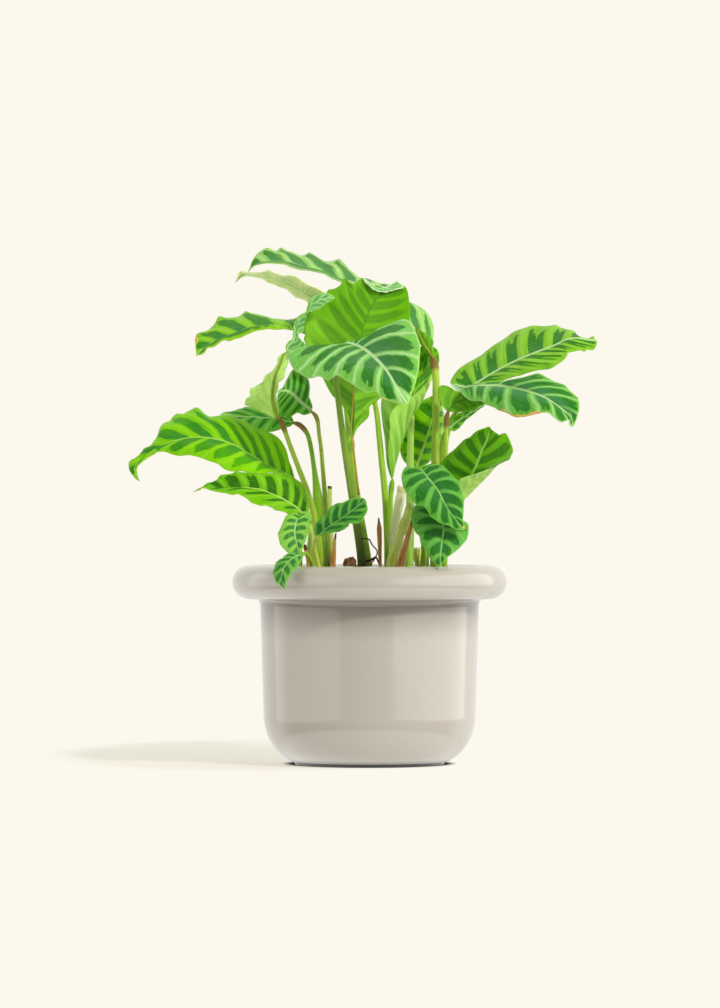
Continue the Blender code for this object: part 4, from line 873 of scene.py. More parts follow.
        "left": [(74.4, 20, 316.5), (80.2, 19, 317.1), (87.1, 16, 317.1), (93.9, 14, 317.4),
            (100.7, 10, 317.8), (107.3, 6, 318.7), (113.8, 4, 320.1), (120.3, 0, 321.6),
            (127, -3, 323.5), (133.8, -6, 325.2), (138.9, -7, 326.4), (142.9, -9, 325.2),
            (147.8, -11, 322.6), (156.8, -14, 318.4), (161.8, -16, 316.3), (164.9, -18, 312.5),
            (168.9, -20, 309.2), (172.5, -23, 305), (173.1, -28, 297.5), (171.9, -29, 291.7),
            (169.5, -30, 285.1)],
        "right": [(77.9, 10, 313.1), (75.9, 0, 311.1), (77.1, -3, 309), (79.2, -5, 306.8),
            (83.2, -9, 304.4), (92.2, -14, 303), (97.1, -17, 300.2), (102.9, -19, 298.3),
            (106.9, -21, 295.5), (114.3, -25, 292.6), (119.2, -27, 290.5), (123.2, -28, 289.9),
            (130.6, -30, 290.4), (135.5, -32, 292.1), (139.6, -33, 293.3), (146.1, -35, 293.4),
            (151, -35, 289.9), (155.2, -35, 286.7), (158.5, -35, 285.8), (161.8, -34, 286.8),
            (164.1, -33, 287.5), (164.5, -33, 283.8)],
        "bulge": (3, 4), "wave": (0.7, 6), "pitch": 15, "top": "cool",
        "veins": {"left": [(2, 12), (15, 38), (28, 53), (39, 66), (51, 75), (64, 84), (80, 92),
            (93, 100)], "right": [(-8, 18), (10, 27), (21, 33), (37, 51), (56, 73), (72, 84), (83, 95),
            (96, 105)]},
        "tones": {"light": ("#74BE52", "#62B038"), "bar": ("#2F7A34", "#23701E"), "edge": "#A6D878",
            "rib": "#BCE296"},
        "bars": {"light": (0.36, 0.4), "narrowFrom": 0.7, "reach": 1.04, "rib": (1.7, 0.8),
            "margin": 1.4, "wedge": 0.7},
        "scorch": [(110, 290.5, 6), (116, 288, 6), (122, 286.3, 6), (128, 286, 6), (134, 287.3, 6),
            (139, 289.5, 5.5), (168, 313, 6), (172, 308.5, 6), (175.5, 303, 6), (168, 273.5, 3)]},
    "right_lobe": {
        "rib": [(65, 8, 295), (70, 9, 301), (76, 10, 304.5), (86, 11, 305), (99, 12, 303)],
        "left": [(60, 6, 301), (57, 5, 310), (57.5, 5, 315), (60, 6, 317), (66, 8, 316), (71, 10, 313),
            (80, 11, 310), (90, 12, 306.5)],
        "right": [(70, 6, 295), (78, 5, 295), (86, 6, 297), (93, 9, 301)],
        "bulge": (-1.5, -1.5), "wave": (0.4, 3), "pitch": 9, "slant": 0.8, "top": "fresh",
        "under": "glowing", "seenFromBelow": True,
        "underTones": {"light": ("#74B42C", "#7CBA34"), "bar": "#5E9E20"},
        "bars": {"rib": (0.8, 0.4)}},
    "right_narrow": {
        "rib": [(66, 15, 281), (74, 17, 288), (84, 18, 294), (92, 19, 299), (98, 20, 303)],
        "left": [(66.5, 14, 286), (72, 14, 292), (82, 15, 298), (92, 17, 303)],
        "right": [(70, 18.5, 279), (74, 21, 281), (79, 23, 287), (88, 23, 295), (95, 22, 300)],
        "bulge": (1, 1), "wave": (0.4, 3), "pitch": 9, "slant": 0.6, "top": "fresh",
        "tones": {"light": ("#80CC00", "#78C400"), "bar": ("#3C9400", "#348A00")}},
    "right_low": {
        "rib": [(77, -20, 222), (79.4, -23, 228.5), (82.9, -26, 238.1), (85.1, -28, 244.3),
            (87.7, -30, 249.6), (90.2, -32, 256), (92.8, -34, 262.8), (96.3, -36, 269.9),
            (99.9, -39, 280)],
        "left": [(70.8, -16, 230.3), (64.8, -13, 239.4), (58.8, -11, 248.8), (60, -13, 253.9),
            (63.4, -15, 257.8), (69.8, -20, 262.9), (73.9, -22, 267), (78.1, -25, 271.4),
            (82.8, -28, 273.3), (88.5, -31, 278.3), (94.2, -34, 280.5), (98.5, -36, 281.9)],
        "right": [(82.2, -18, 225.7), (88, -17, 231.9), (93.8, -16, 238), (99.6, -17, 244.3),
            (104.5, -19, 249.3), (107.8, -21, 252), (111.8, -24, 253.8), (115.2, -27, 255),
            (116.9, -30, 258.3), (118.1, -35, 262.8), (115.7, -39, 270.1), (111.9, -41, 276.5),
            (109.3, -41, 274.9), (107.2, -41, 275), (104, -41, 276.9), (101.6, -41, 278.5)],
        "bulge": (3, 3), "wave": (0.5, 4), "pitch": 13, "top": "vivid",
        "veins": {"left": [(4, 4), (14, 19), (25, 33), (38, 50), (53, 66), (70, 82), (90, 94)],
            "right": [(6, 10), (20, 28), (34, 46), (47, 62), (64, 84), (84, 95)]},
        "tones": {"light": ("#68B40A", "#60AC04"), "bar": ("#347804", "#2E7004"), "rib": "#90CC54",
            "ribBar": "#2E7010", "edge": "#70B010", "vein": "#70B420"},
        "bars": {"light": (0.5, 0.5), "narrowFrom": 0.75, "reach": 1.05, "wander": 0.12, "wedge": 0.8,
            "rib": (1.3, 0.7), "feather": 0.26}},
    "front_right": {
        "rib": [(41.7, -54, 247.3), (44.4, -57, 243.6), (48.2, -61, 239), (52, -64, 234.5),
            (55.5, -69, 229.7), (58.4, -73, 224.7), (61, -76, 219.1), (64.5, -80, 213),
            (68.4, -83, 207.5), (72.5, -86, 202.4), (77.1, -88, 197.7)],
        "left": [(43.8, -54, 248.5), (47.1, -53, 250), (49.5, -52, 251), (53.6, -52, 250.7),
            (57.7, -53, 250.3), (61, -54, 248.6), (64.2, -56, 245.5), (68.3, -59, 241.2),
            (72.3, -62, 237.1), (74, -66, 232.2), (75.6, -70, 227.3), (76.4, -74, 221.6),
            (76.6, -77, 215), (76.1, -81, 208.5), (75.8, -84, 204.5), (76.8, -86, 200.8)],
        "right": [(38.8, -54, 247.2), (35.6, -55, 247.5), (31.4, -58, 248.9), (29, -59, 248),
            (26.9, -61, 244.7), (26.1, -64, 240.4), (26.8, -67, 235.5), (28, -71, 230.6),
            (30.5, -74, 226.5), (33.7, -77, 223.2), (36.5, -79, 219.8), (37.9, -80, 217.3),
            (42.6, -83, 216.7), (45.8, -85, 214.2), (48.3, -87, 211), (51.5, -89, 206.9),
            (55.5, -90, 203.5), (59.6, -91, 201.9), (64.5, -91, 200.8), (67.7, -91, 198.6),
            (71.8, -91, 197.3), (75.5, -90, 197)],
        "bulge": (3, 3), "wave": (0.4, 5), "pitch": 10, "top": "deep",
        "veins": {"left": [(-4, 5), (5, 14), (13, 27), (26, 45), (42, 67), (61, 83), (78, 93),
            (96, 99)], "right": [(-8, 5), (2, 14), (8, 27), (17, 42), (31, 62), (51, 77), (68, 89),
            (86, 96), (100, 100)]},
        "tones": {"light": ("#60AC40", "#5CA838"), "bar": ("#1F6A22", "#176014"), "vein": "#7CC060"},
        "bars": {"light": (0.3, 0.36), "narrowFrom": 0.65, "reach": 1.08, "rib": (1.2, 0.5),
            "wander": 0.12, "wedge": 0.95, "feather": 0.34},
        "scorch": [(79, 197, 5)]},
    "front_low": {
        "rib": [(54, -60, 212.1), (57.2, -64, 206.4), (59.6, -67, 202.4), (60.3, -71, 198.5),
            (60, -76, 193.8), (59.4, -79, 189.8), (58.7, -85, 184.9), (58, -89, 179.2),
            (57.5, -93, 173.6), (57.9, -97, 166.7)],
        "left": [(58.4, -61, 212.6), (62.5, -62, 211.9), (70.7, -62, 209.3), (76.8, -63, 204.6),
            (80.5, -64, 202.3), (80.9, -68, 197.9), (80.3, -73, 193), (78.6, -76, 188.9),
            (75.3, -80, 184.9), (71.1, -84, 180.8), (66.1, -90, 176.8), (62, -93, 173.6),
            (58.9, -95, 170.2)],
        "right": [(50.2, -61, 213.8), (46, -62, 215), (42, -62, 216.7), (37.5, -61, 217.2),
            (35.1, -61, 212.2), (34.2, -63, 206.4), (35.3, -67, 200.3), (37.4, -71, 195.4),
            (40.7, -75, 191.6), (41.4, -80, 187.3), (44.2, -84, 183.3), (47.4, -88, 178.3),
            (49.4, -91, 173.4), (53, -94, 170.2), (56.4, -96, 167.3)],
        "bulge": (3, 3), "wave": (0.4, 5), "pitch": 10, "top": "deep",
        "veins": {"left": [(0, 15), (18, 34), (34, 58), (56, 77), (80, 90), (97, 99)],
            "right": [(0, 18), (15, 32), (30, 50), (53, 75), (80, 90), (97, 99)]},
        "tones": {"light": ("#62AC40", "#5EA838"), "bar": ("#1F6A22", "#1A6218"), "vein": "#7CC060"},
        "bars": {"light": (0.36, 0.36), "narrowFrom": 0.5, "reach": 1.02, "rib": (1.2, 0.5),
            "wander": 0.12, "wedge": 0.9, "feather": 0.34}},
}

# Parts of blades that are folded or twisted over, each drawn as a sheet of its own.
leafFolds = {
    "left_twisted_tip": {
        "rib": [(-69.3, -8, 344.2), (-66.9, -8, 349.5), (-62.4, -8, 354.8), (-62, -8, 360.3),
            (-59.1, -8, 368.6), (-54.7, -8, 374.5), (-51.8, -8, 377.6), (-47.1, -8, 384.1),
            (-40.2, -8, 387.8), (-28.4, -6, 389.5)],
        "left": [(-69.5, -8, 347.5), (-69.3, -8, 349.9), (-66.7, -8, 353.4), (-63.8, -8, 355.2),
            (-63.4, -8, 360.7), (-62.4, -8, 367.6), (-58.9, -8, 373), (-53, -8, 377.3),
            (-51.5, -8, 381.9), (-49.7, -8, 387.3), (-46.6, -8, 390.2), (-41.2, -8, 392.2),
            (-36.3, -7, 393), (-31.8, -6, 391.7)],
        "right": [(-64.8, -8, 345), (-59.8, -8, 345.8), (-50, -8, 347.6), (-55.4, -8, 351.1),
            (-60.8, -8, 354.8), (-60.9, -8, 359.6), (-55.3, -8, 360.3), (-54.3, -8, 366.6),
            (-53.4, -8, 372.5), (-51.2, -8, 377.1), (-46.1, -8, 378.4), (-41.2, -8, 380),
            (-36.3, -8, 384.3), (-31.8, -7, 386.8)],
        "bulge": (0.6, 0.6), "wave": (0.2, 4), "pitch": 8, "slant": 1.8, "top": "cool",
        "tones": {"light": ("#68AE4C", "#86C66C"), "bar": ("#529C40", "#5CA854"), "vein": "#A8DA90"},
        "bars": {"light": (0.5, 0.5), "wedge": 1.2, "rib": (0.7, 0.5)}},
    "centre_back_fold": {
        "rib": [(-5.2, 11, 405.8), (-1.1, 12, 402), (2.8, 14, 399.4), (7.6, 16, 397.3), (12.7, 18, 397),
            (17.3, 21, 397.9), (21.7, 23, 400.1), (25.6, 24, 400.3), (28.5, 24, 398.6)],
        "left": [(-4.1, 10, 403.6), (-1.2, 10, 400.7), (2.8, 11, 397.7), (7.3, 13, 395.2),
            (12.4, 15, 394.7), (17.8, 18, 395.8), (22.6, 20, 397.2), (26, 22, 398)],
        "right": [(-3.9, 12, 405.5), (-0.4, 14, 403.2), (3.5, 16, 401.2), (8.1, 18, 399.7),
            (12.9, 20, 399.4), (16.8, 23, 400.3), (19.7, 25, 402.9), (22.4, 27, 404.8),
            (25.6, 27, 403.2), (27.8, 26, 400.6)],
        "bulge": (0.4, 0.4), "wave": (0.1, 4), "pitch": 4, "slant": 2.2, "top": "cool",
        "tones": {"light": ("#96CC7C", "#8CC66C"), "bar": ("#62AA62", "#4E9A50"), "edge": "#DCEEC4"},
        "bars": {"light": (0.55, 0.55), "wedge": 1.2, "rib": (0.3, 0.3), "margin": 1.6}},
    "right_low_fold": {
        "rib": [(77.8, -31, 221.6), (79.5, -31, 229), (82.8, -32, 234), (89.3, -33, 239.3),
            (96.7, -35, 244.7), (103.6, -37, 248.6)],
        "left": [(75.4, -31, 228.2), (73.3, -31, 234), (73.7, -32, 238.1), (79.5, -32, 241),
            (86.8, -34, 243), (95, -35, 245.9), (100, -36, 247.8)],
        "right": [(81.2, -29, 224.9), (84.5, -29, 228.2), (91, -30, 234.8), (97.6, -33, 241.4)],
        "bulge": (0.3, 0.3), "wave": (0.1, 3), "pitch": 9, "slant": 0.6, "top": "vivid",
        "seenFromBelow": True,
        "underTones": {"light": ("#9CCA4C", "#B2D67A"), "bar": "#94C244", "vein": "#BCDC8C",
            "rib": "#A4CE5C"},
        "bars": {"rib": (0.3, 0.3)}},
    "right_drooping_fold": {
        "rib": [(67.8, 13, 317.7), (72.8, 13, 315.2), (78.7, 13, 312.4), (85.3, 13, 309.4),
            (91.2, 13, 305.7), (96.1, 13, 302.4)],
        "left": [(70.3, 13, 318.4), (75.3, 13, 317.4), (82, 13, 315.9), (87.8, 13, 314),
            (92.8, 13, 309), (95.7, 13, 304.9)],
        "right": [(69.5, 13, 315.7), (73.7, 13, 312.4), (78.7, 13, 308.6), (84.5, 13, 305.3),
            (90.3, 13, 303.2)],
        "bulge": (0.4, 0.4), "wave": (0.1, 3), "pitch": 6, "slant": 2, "top": "cool",
        "tones": {"light": ("#A2D07C", "#A8D488"), "bar": ("#8CC26C", "#74B068"), "edge": "#D4ECBC",
            "rib": "#C8E6B0"},
        "bars": {"light": (0.6, 0.6), "wedge": 1.2, "rib": (0.5, 0.5), "margin": 1.2}},
    "crown_arch_fold": {
        "rib": [(52.7, 33, 340.4), (49.3, 30, 346.6), (45.6, 28, 353.6), (42.2, 27, 360.2),
            (38.8, 26, 366.1)],
        "left": [(51, 33, 342), (47.2, 30, 346.1), (42.6, 28, 352.8), (39.7, 27, 360.2),
            (38.2, 26, 364.4)],
        "right": [(54, 33, 344.5), (52.3, 31, 349.1), (53.3, 30, 354.5), (48.5, 28, 359.9),
            (43.5, 27, 362.8), (40.5, 26, 365)],
        "bulge": (0.4, 0.8), "wave": (0.1, 3), "pitch": 8, "slant": 1.6, "top": "fresh",
        "under": "glowing", "seenFromBelow": True,
        "underTones": {"light": ("#6EAE20", "#60A418"), "bar": "#4F9614", "vein": "#84C02C",
            "rib": "#8C9A34"},
        "bars": {"rib": (1.2, 0.8)}},
    "inner_striped": {
        "rib": [(49.2, 54, 351.4), (47.5, 50, 341.7), (44.9, 44, 328.9), (41.5, 36, 317.9),
            (36.8, 27, 308.5)],
        "left": [(54.3, 54, 350.2), (58, 54, 346), (58.7, 54, 338.4), (56.4, 54, 334.2),
            (52.1, 52, 326.2), (48.3, 46, 320.2), (42.3, 36, 313.7)],
        "right": [(42.9, 54, 350.2), (41.2, 50, 339.1), (39.9, 42, 326.4), (37.2, 32, 315.3)],
        "bulge": (0.4, 0.4), "wave": (0.1, 3), "pitch": 12, "top": "vivid",
        "veins": {"left": [(5, -14), (45, 14), (78, 52), (112, 88)], "right": [(5, 26), (45, 66),
            (78, 96), (112, 130)]},
        "tones": {"light": ("#7CC410", "#68B404"), "bar": ("#3E8C0E", "#3A8A0C"), "ribBar": "#3E8C0E",
            "edge": "#A0D048"},
        "bars": {"light": (0.42, 0.42), "wedge": 1.2, "reach": 1.3, "narrowFrom": 1,
            "rib": (0.05, 0.05), "feather": 0.26}},
}

for leafName, leaf in leaves.items():
    makeLeaf("blade_" + leafName, leaf, "leaf_" + leafName)
for foldName, fold in leafFolds.items():
    makeLeaf("fold_" + foldName, fold, None)
print("stage: leaves done")


# Stalks. Fresh leaf stalks: satin and juicy green with lengthwise streaks, often darker at
# the foot, and with a firmer, browner joint just below the blade. The attribute stalkFlow
# holds the distance from the soil, the distance from the top, both in mm, and the way round.

stalkFinishes = {
    "green": {"foot": "#7C9824", "body": "#88BA1C", "streak": "#B4D850", "joint": "#7FAE2A",
              "top": "#8CBE38", "footLength": 40, "jointLength": 12},
    "brownJoint": {"foot": "#8CA028", "body": "#96C01C", "streak": "#C4DC60",
                   "joint": "#745826", "top": "#94803C", "footLength": 35, "jointLength": 15},
    "darkFoot": {"foot": "#44441A", "body": "#7AB01A", "streak": "#98C43C",
                 "joint": "#86602E", "top": "#A08040", "footLength": 62,
                 "jointLength": 15},
    "dark": {"foot": "#424E1C", "body": "#6A9422", "streak": "#94B048", "joint": "#4E4A24",
             "top": "#5E5C2C", "footLength": 95, "jointLength": 26},
    "pale": {"foot": "#90C040", "body": "#9CCC44", "streak": "#C2E07C", "joint": "#A2CC58",
             "top": "#B0D870", "footLength": 30, "jointLength": 10},
    "yellow": {"foot": "#6E7820", "body": "#A0BC34", "streak": "#C8D868", "joint": "#98903C",
               "top": "#A8A84C", "footLength": 50, "jointLength": 12},
    "olive": {"foot": "#8A6A2C", "body": "#7A9C1C", "streak": "#9CBC3C", "joint": "#8AA830",
              "top": "#94B43C", "footLength": 12, "jointLength": 10},
    "paleYellow": {"foot": "#CCC058", "body": "#BCD440", "streak": "#DCE47C",
                   "joint": "#A8C048", "top": "#B8CC58", "footLength": 22, "jointLength": 8},
    "orange": {"foot": "#9C7A34", "body": "#B0822C", "streak": "#CCA858", "joint": "#C08A3C",
               "top": "#C89848", "footLength": 12, "jointLength": 10},
    "cutTop": {"foot": "#90A83C", "body": "#BCD850", "streak": "#D4E488", "joint": "#6A4A2C",
               "top": "#54381F", "footLength": 14, "jointLength": 2.4},
}
# The sheath finishes are pale, and their near-white bodies and streaks are lifted further as painted
# light against the shade inside the plant.
dryFinishes = {
    "paleSheath": {"foot": "#C8D058", "body": "#ECF0A8", "streak": "#FFFFE8",
                   "joint": "#D8E4A8", "top": "#D8B880", "footLength": 25, "jointLength": 5},
    "greenSheath": {"foot": "#C4CC60", "body": "#C8E04C", "streak": "#F0F4A8",
                    "joint": "#B8D060", "top": "#C8C878", "footLength": 25, "jointLength": 5},
    "dryBrown": {"foot": "#6A3E1C", "body": "#B87430", "streak": "#E4B478",
                 "joint": "#7A4A26", "top": "#5C3A22", "footLength": 12, "jointLength": 6},
    "dryDark": {"foot": "#7A4A28", "body": "#A86C3C", "streak": "#D8A870",
                "joint": "#4A2A1C", "top": "#3A241A", "footLength": 10, "jointLength": 5},
    "root": {"foot": "#2E2418", "body": "#33271A", "streak": "#54402A", "joint": "#2E2418",
             "top": "#3A2C1C", "footLength": 3, "jointLength": 3},
    "thread": {"foot": "#8A8A50", "body": "#B4AC84", "streak": "#C8C09C", "joint": "#A49C74",
               "top": "#A49C74", "footLength": 3, "jointLength": 3},
}


# Streaks are under a millimetre wide and about 40 mm long.
stalkMarks = {"streakPerMm": 0.025, "streaksAround": 14.0, "streakScale": 2.0,
              "streakEdge": (0.44, 0.58), "spotScale": 260.0, "spotEdge": (0.62, 0.8),
              "spotShare": 0.5, "jointEdge": (0.8, 1.2), "relief": 0.4, "bump": 0.0005,
              "specular": 0.18, "freshRoughness": 0.42, "dryRoughness": 0.75}


def stalkMaterial(name, look, roughness):
    material, tree, shader = newMaterial(name)
    flow = addNode(tree, "ShaderNodeAttribute", {}, attribute_name="stalkFlow", output=1)
    fromFoot, fromTop, around = addNode(tree, "ShaderNodeSeparateXYZ", {0: flow}).node.outputs
    streakAt = addNode(tree, "ShaderNodeCombineXYZ", {
        0: addNode(tree, "ShaderNodeMath", {0: fromFoot, 1: stalkMarks["streakPerMm"]},
                   operation="MULTIPLY"),
        1: addNode(tree, "ShaderNodeMath", {0: around, 1: stalkMarks["streaksAround"]},
                   operation="MULTIPLY")})
    streak = addNode(tree, "ShaderNodeTexNoise", {
        "Vector": streakAt, "Scale": stalkMarks["streakScale"], "Detail": 4.0,
        "Roughness": 0.6})
    low, high = stalkMarks["streakEdge"]
    streaks = addNode(tree, "ShaderNodeMapRange", {0: streak, 1: low, 2: high},
                      interpolation_type="SMOOTHSTEP")
    spots = addNode(tree, "ShaderNodeTexNoise", {
        "Vector": addNode(tree, "ShaderNodeTexCoord", {}, output=3),
        "Scale": stalkMarks["spotScale"], "Detail": 2.0})
    low, high = stalkMarks["spotEdge"]
    spots = addNode(tree, "ShaderNodeMapRange", {0: spots, 1: low, 2: high,
                                                 4: stalkMarks["spotShare"]})
    low, high = [look["jointLength"] * share for share in stalkMarks["jointEdge"]]
    nearFoot, nearTop = [addNode(tree, "ShaderNodeMapRange", {
        0: distance, 1: near, 2: far, 3: 1.0, 4: 0.0}, interpolation_type="SMOOTHSTEP")
        for distance, near, far in ((fromFoot, 0.0, look["footLength"]),
                                    (fromTop, low, high))]
    top = layTones(tree, look["joint"], (streaks, 1.0, look["top"]))
    colour = layTones(tree, look["body"], (streaks, 1.0, look["streak"]),
                      (nearFoot, 1.0, look["foot"]), (nearTop, 1.0, top),
                      (spots, 1.0, look["foot"]))
    bump = addNode(tree, "ShaderNodeBump", {"Height": streak, "Strength": stalkMarks["relief"],
                                            "Distance": stalkMarks["bump"]})
    fillInputs(tree, shader, {"Base Color": colour, "Normal": bump, "Roughness": roughness,
                              "Specular IOR Level": stalkMarks["specular"]})
    return material


stalkMaterials = {name: stalkMaterial("stalk_" + name, look, stalkMarks["freshRoughness"])
                  for name, look in stalkFinishes.items()}
stalkMaterials.update({name: stalkMaterial("stub_" + name, look, stalkMarks["dryRoughness"])
                       for name, look in dryFinishes.items()})

# Lengths in mm from the soil or from the leaf, and swellings as shares of the radius.
stalkBuild = {"sink": 14, "soilEdge": 151, "soilCrown": 161, "holeRings": 5, "sides": 20,
              "threadSides": 10, "ringSpace": 3.0, "intoLeaf": 1.2, "taper": (0.05, 0.9),
              "footSwell": 0.048, "footEdge": (14, 60), "jointSwell": 0.18, "jointTop": 4,
              "jointEdge": 3, "neck": 0.45, "neckLength": 5, "ridges": 5, "ridgeTwist": 3,
              "stalkRidge": 0.035, "stubRidge": 0.05, "threadRidge": 0.1, "cupRows": 4,
              "cupInside": 0.62, "tornShare": 0.5, "spike": 0.8, "stubSize": 0.95,
              "stubRough": 0.12, "roughPlaces": (1.5, 9)}


def framesAlong(line):
    # A pair of directions square to the line at each of its points, without twist.
    pairs = []
    first = (line[1] - line[0]).normalized()
    across = first.cross(Vector((0, 1, 0.01))).normalized()
    for index in range(len(line)):
        heading = (line[min(index + 1, len(line) - 1)] - line[max(index - 1, 0)]).normalized()
        across = (across - heading * across.dot(heading)).normalized()
        pairs.append((across, heading.cross(across)))
    return pairs


def makeTube(name, line, radiusAt, sides, wobble=0.0, cup=0.0):
    # A closed tube along a line; radiusAt gives mm from the shares along and around. A cup
    # depth in mm leaves the top open like a cut sheath.
    count = len(line) - 1
    pairs = framesAlong(line)
    total = lineLength(line) / mm
    inner = stalkBuild["cupRows"] if cup else 0
    rows = count + 2 + inner
    flows = []

    def place(alongShare, aroundShare):
        row = round(alongShare * rows)
        angle = 2 * math.pi * aroundShare
        index = min(max(row - 1, 0), count)
        share = index / count
        radius = radiusAt(share, angle) * mm
        centre = line[index].copy()
        if row == 0 or (row == rows and not cup):
            radius = 0
        if cup and row > count + 1:
            depth = (row - count - 1) / (inner + 1)
            radius *= stalkBuild["cupInside"] if row < rows else 0
            centre += (line[-2] - line[-1]).normalized() * cup * depth * mm
        across, other = pairs[index]
        if cup and row in (count + 1, count + 2):
            torn = noise.noise(Vector((math.cos(angle) * 2, math.sin(angle) * 2, total)))
            centre += ((line[-1] - line[-2]).normalized() * torn * cup
                       * stalkBuild["tornShare"] * mm)
        ridge = 1 + wobble * math.cos(stalkBuild["ridges"] * angle
                                      + stalkBuild["ridgeTwist"] * share)
        flows.append((share * total, (1 - share) * total, abs(2 * aroundShare - 1)))
        return centre + (across * math.cos(angle) + other * math.sin(angle)) * radius * ridge

    piece = gridPiece(name, rows, sides, place)
    setAttribute(piece, "stalkFlow", flows)
    closeSeams(piece)
    return piece


def stalkLine(stalk, top):
    # Straight in its hole in the soil, then along its own path to the leaf.
    x, y = stalk["foot"]
    foot = Vector((x, y, stalkBuild["soilEdge"] - stalkBuild["sink"])) * mm
    ground = Vector((x, y, stalkBuild["soilCrown"])) * mm
    path = [ground] + [drawn(point) for point in stalk["path"]]
    if top is not None:
        path.append(top)
    line = smoothLine(path)
    count = max(int(lineLength(line) / mm / stalkBuild["ringSpace"]), 8)
    rings = stalkBuild["holeRings"]
    return [foot.lerp(ground, step / rings) for step in range(rings)] + spaced(
        line, [step / count for step in range(count + 1)])


def makeStalk(name, stalk, leaf, node):
    look = stalk.get("look", "green")
    top = drawn(leaf["rib"][0])
    beyond = (drawn(leaf["rib"][1]) - top).normalized()
    line = stalkLine(stalk, top + beyond * stalkBuild["intoLeaf"] * mm)
    low, high = stalk["radius"]
    length = lineLength(line) / mm
    jointLength = stalkFinishes[look]["jointLength"]
    edge = stalkBuild["jointEdge"]

    def radiusAt(share, angle):
        fromFoot, fromTop = share * length, (1 - share) * length
        radius = low + (high - low) * smoothStep(share, *stalk.get("taper",
                                                                   stalkBuild["taper"]))
        radius *= 1 + stalkBuild["footSwell"] * (1 - smoothStep(fromFoot,
                                                                *stalkBuild["footEdge"]))
        joint = smoothStep(fromTop, 0, stalkBuild["jointTop"]) * (
            1 - smoothStep(fromTop, jointLength - edge, jointLength + edge))
        radius *= 1 + stalkBuild["jointSwell"] * joint
        neck = stalkBuild["neck"]
        return radius * (neck + (1 - neck) * smoothStep(fromTop, 0, stalkBuild["neckLength"]))

    piece = makeTube(name, line, radiusAt, stalkBuild["sides"],
                     wobble=stalkBuild["stalkRidge"])
    finishPiece(piece, node, "stalk", [stalkMaterials[look]])


def makeStub(name, stub, node):
    line = stalkLine(stub, None)
    low, high = stub["radius"]
    seed = len(name) * 3.1
    roundPlaces, longPlaces = stalkBuild["roughPlaces"]

    def radiusAt(share, angle):
        radius = low + (high - low) * share
        if "point" in stub:
            radius *= 1 - stalkBuild["spike"] * smoothStep(share, stub["point"], 1)
        rough = noise.noise(Vector((math.cos(angle) * roundPlaces, math.sin(angle) * roundPlaces,
                                    share * longPlaces + seed)))
        return radius * (stalkBuild["stubSize"]
                         + stub.get("rough", stalkBuild["stubRough"]) * rough)

    piece = makeTube(name, line, radiusAt, stalkBuild["sides"],
                     wobble=stalkBuild["stubRidge"], cup=stub.get("cup", 0))
    finishPiece(piece, node, stub["slot"], [stalkMaterials[stub["look"]]])


def makeThread(name, thread):
    line = smoothLine([drawn(point) for point in thread["line"]])
    low, high = thread["radius"]
    piece = makeTube(name, line, lambda share, angle: low + (high - low) * share,
                     stalkBuild["threadSides"], wobble=stalkBuild["threadRidge"])
    finishPiece(piece, None, thread["slot"], [stalkMaterials[thread["look"]]])


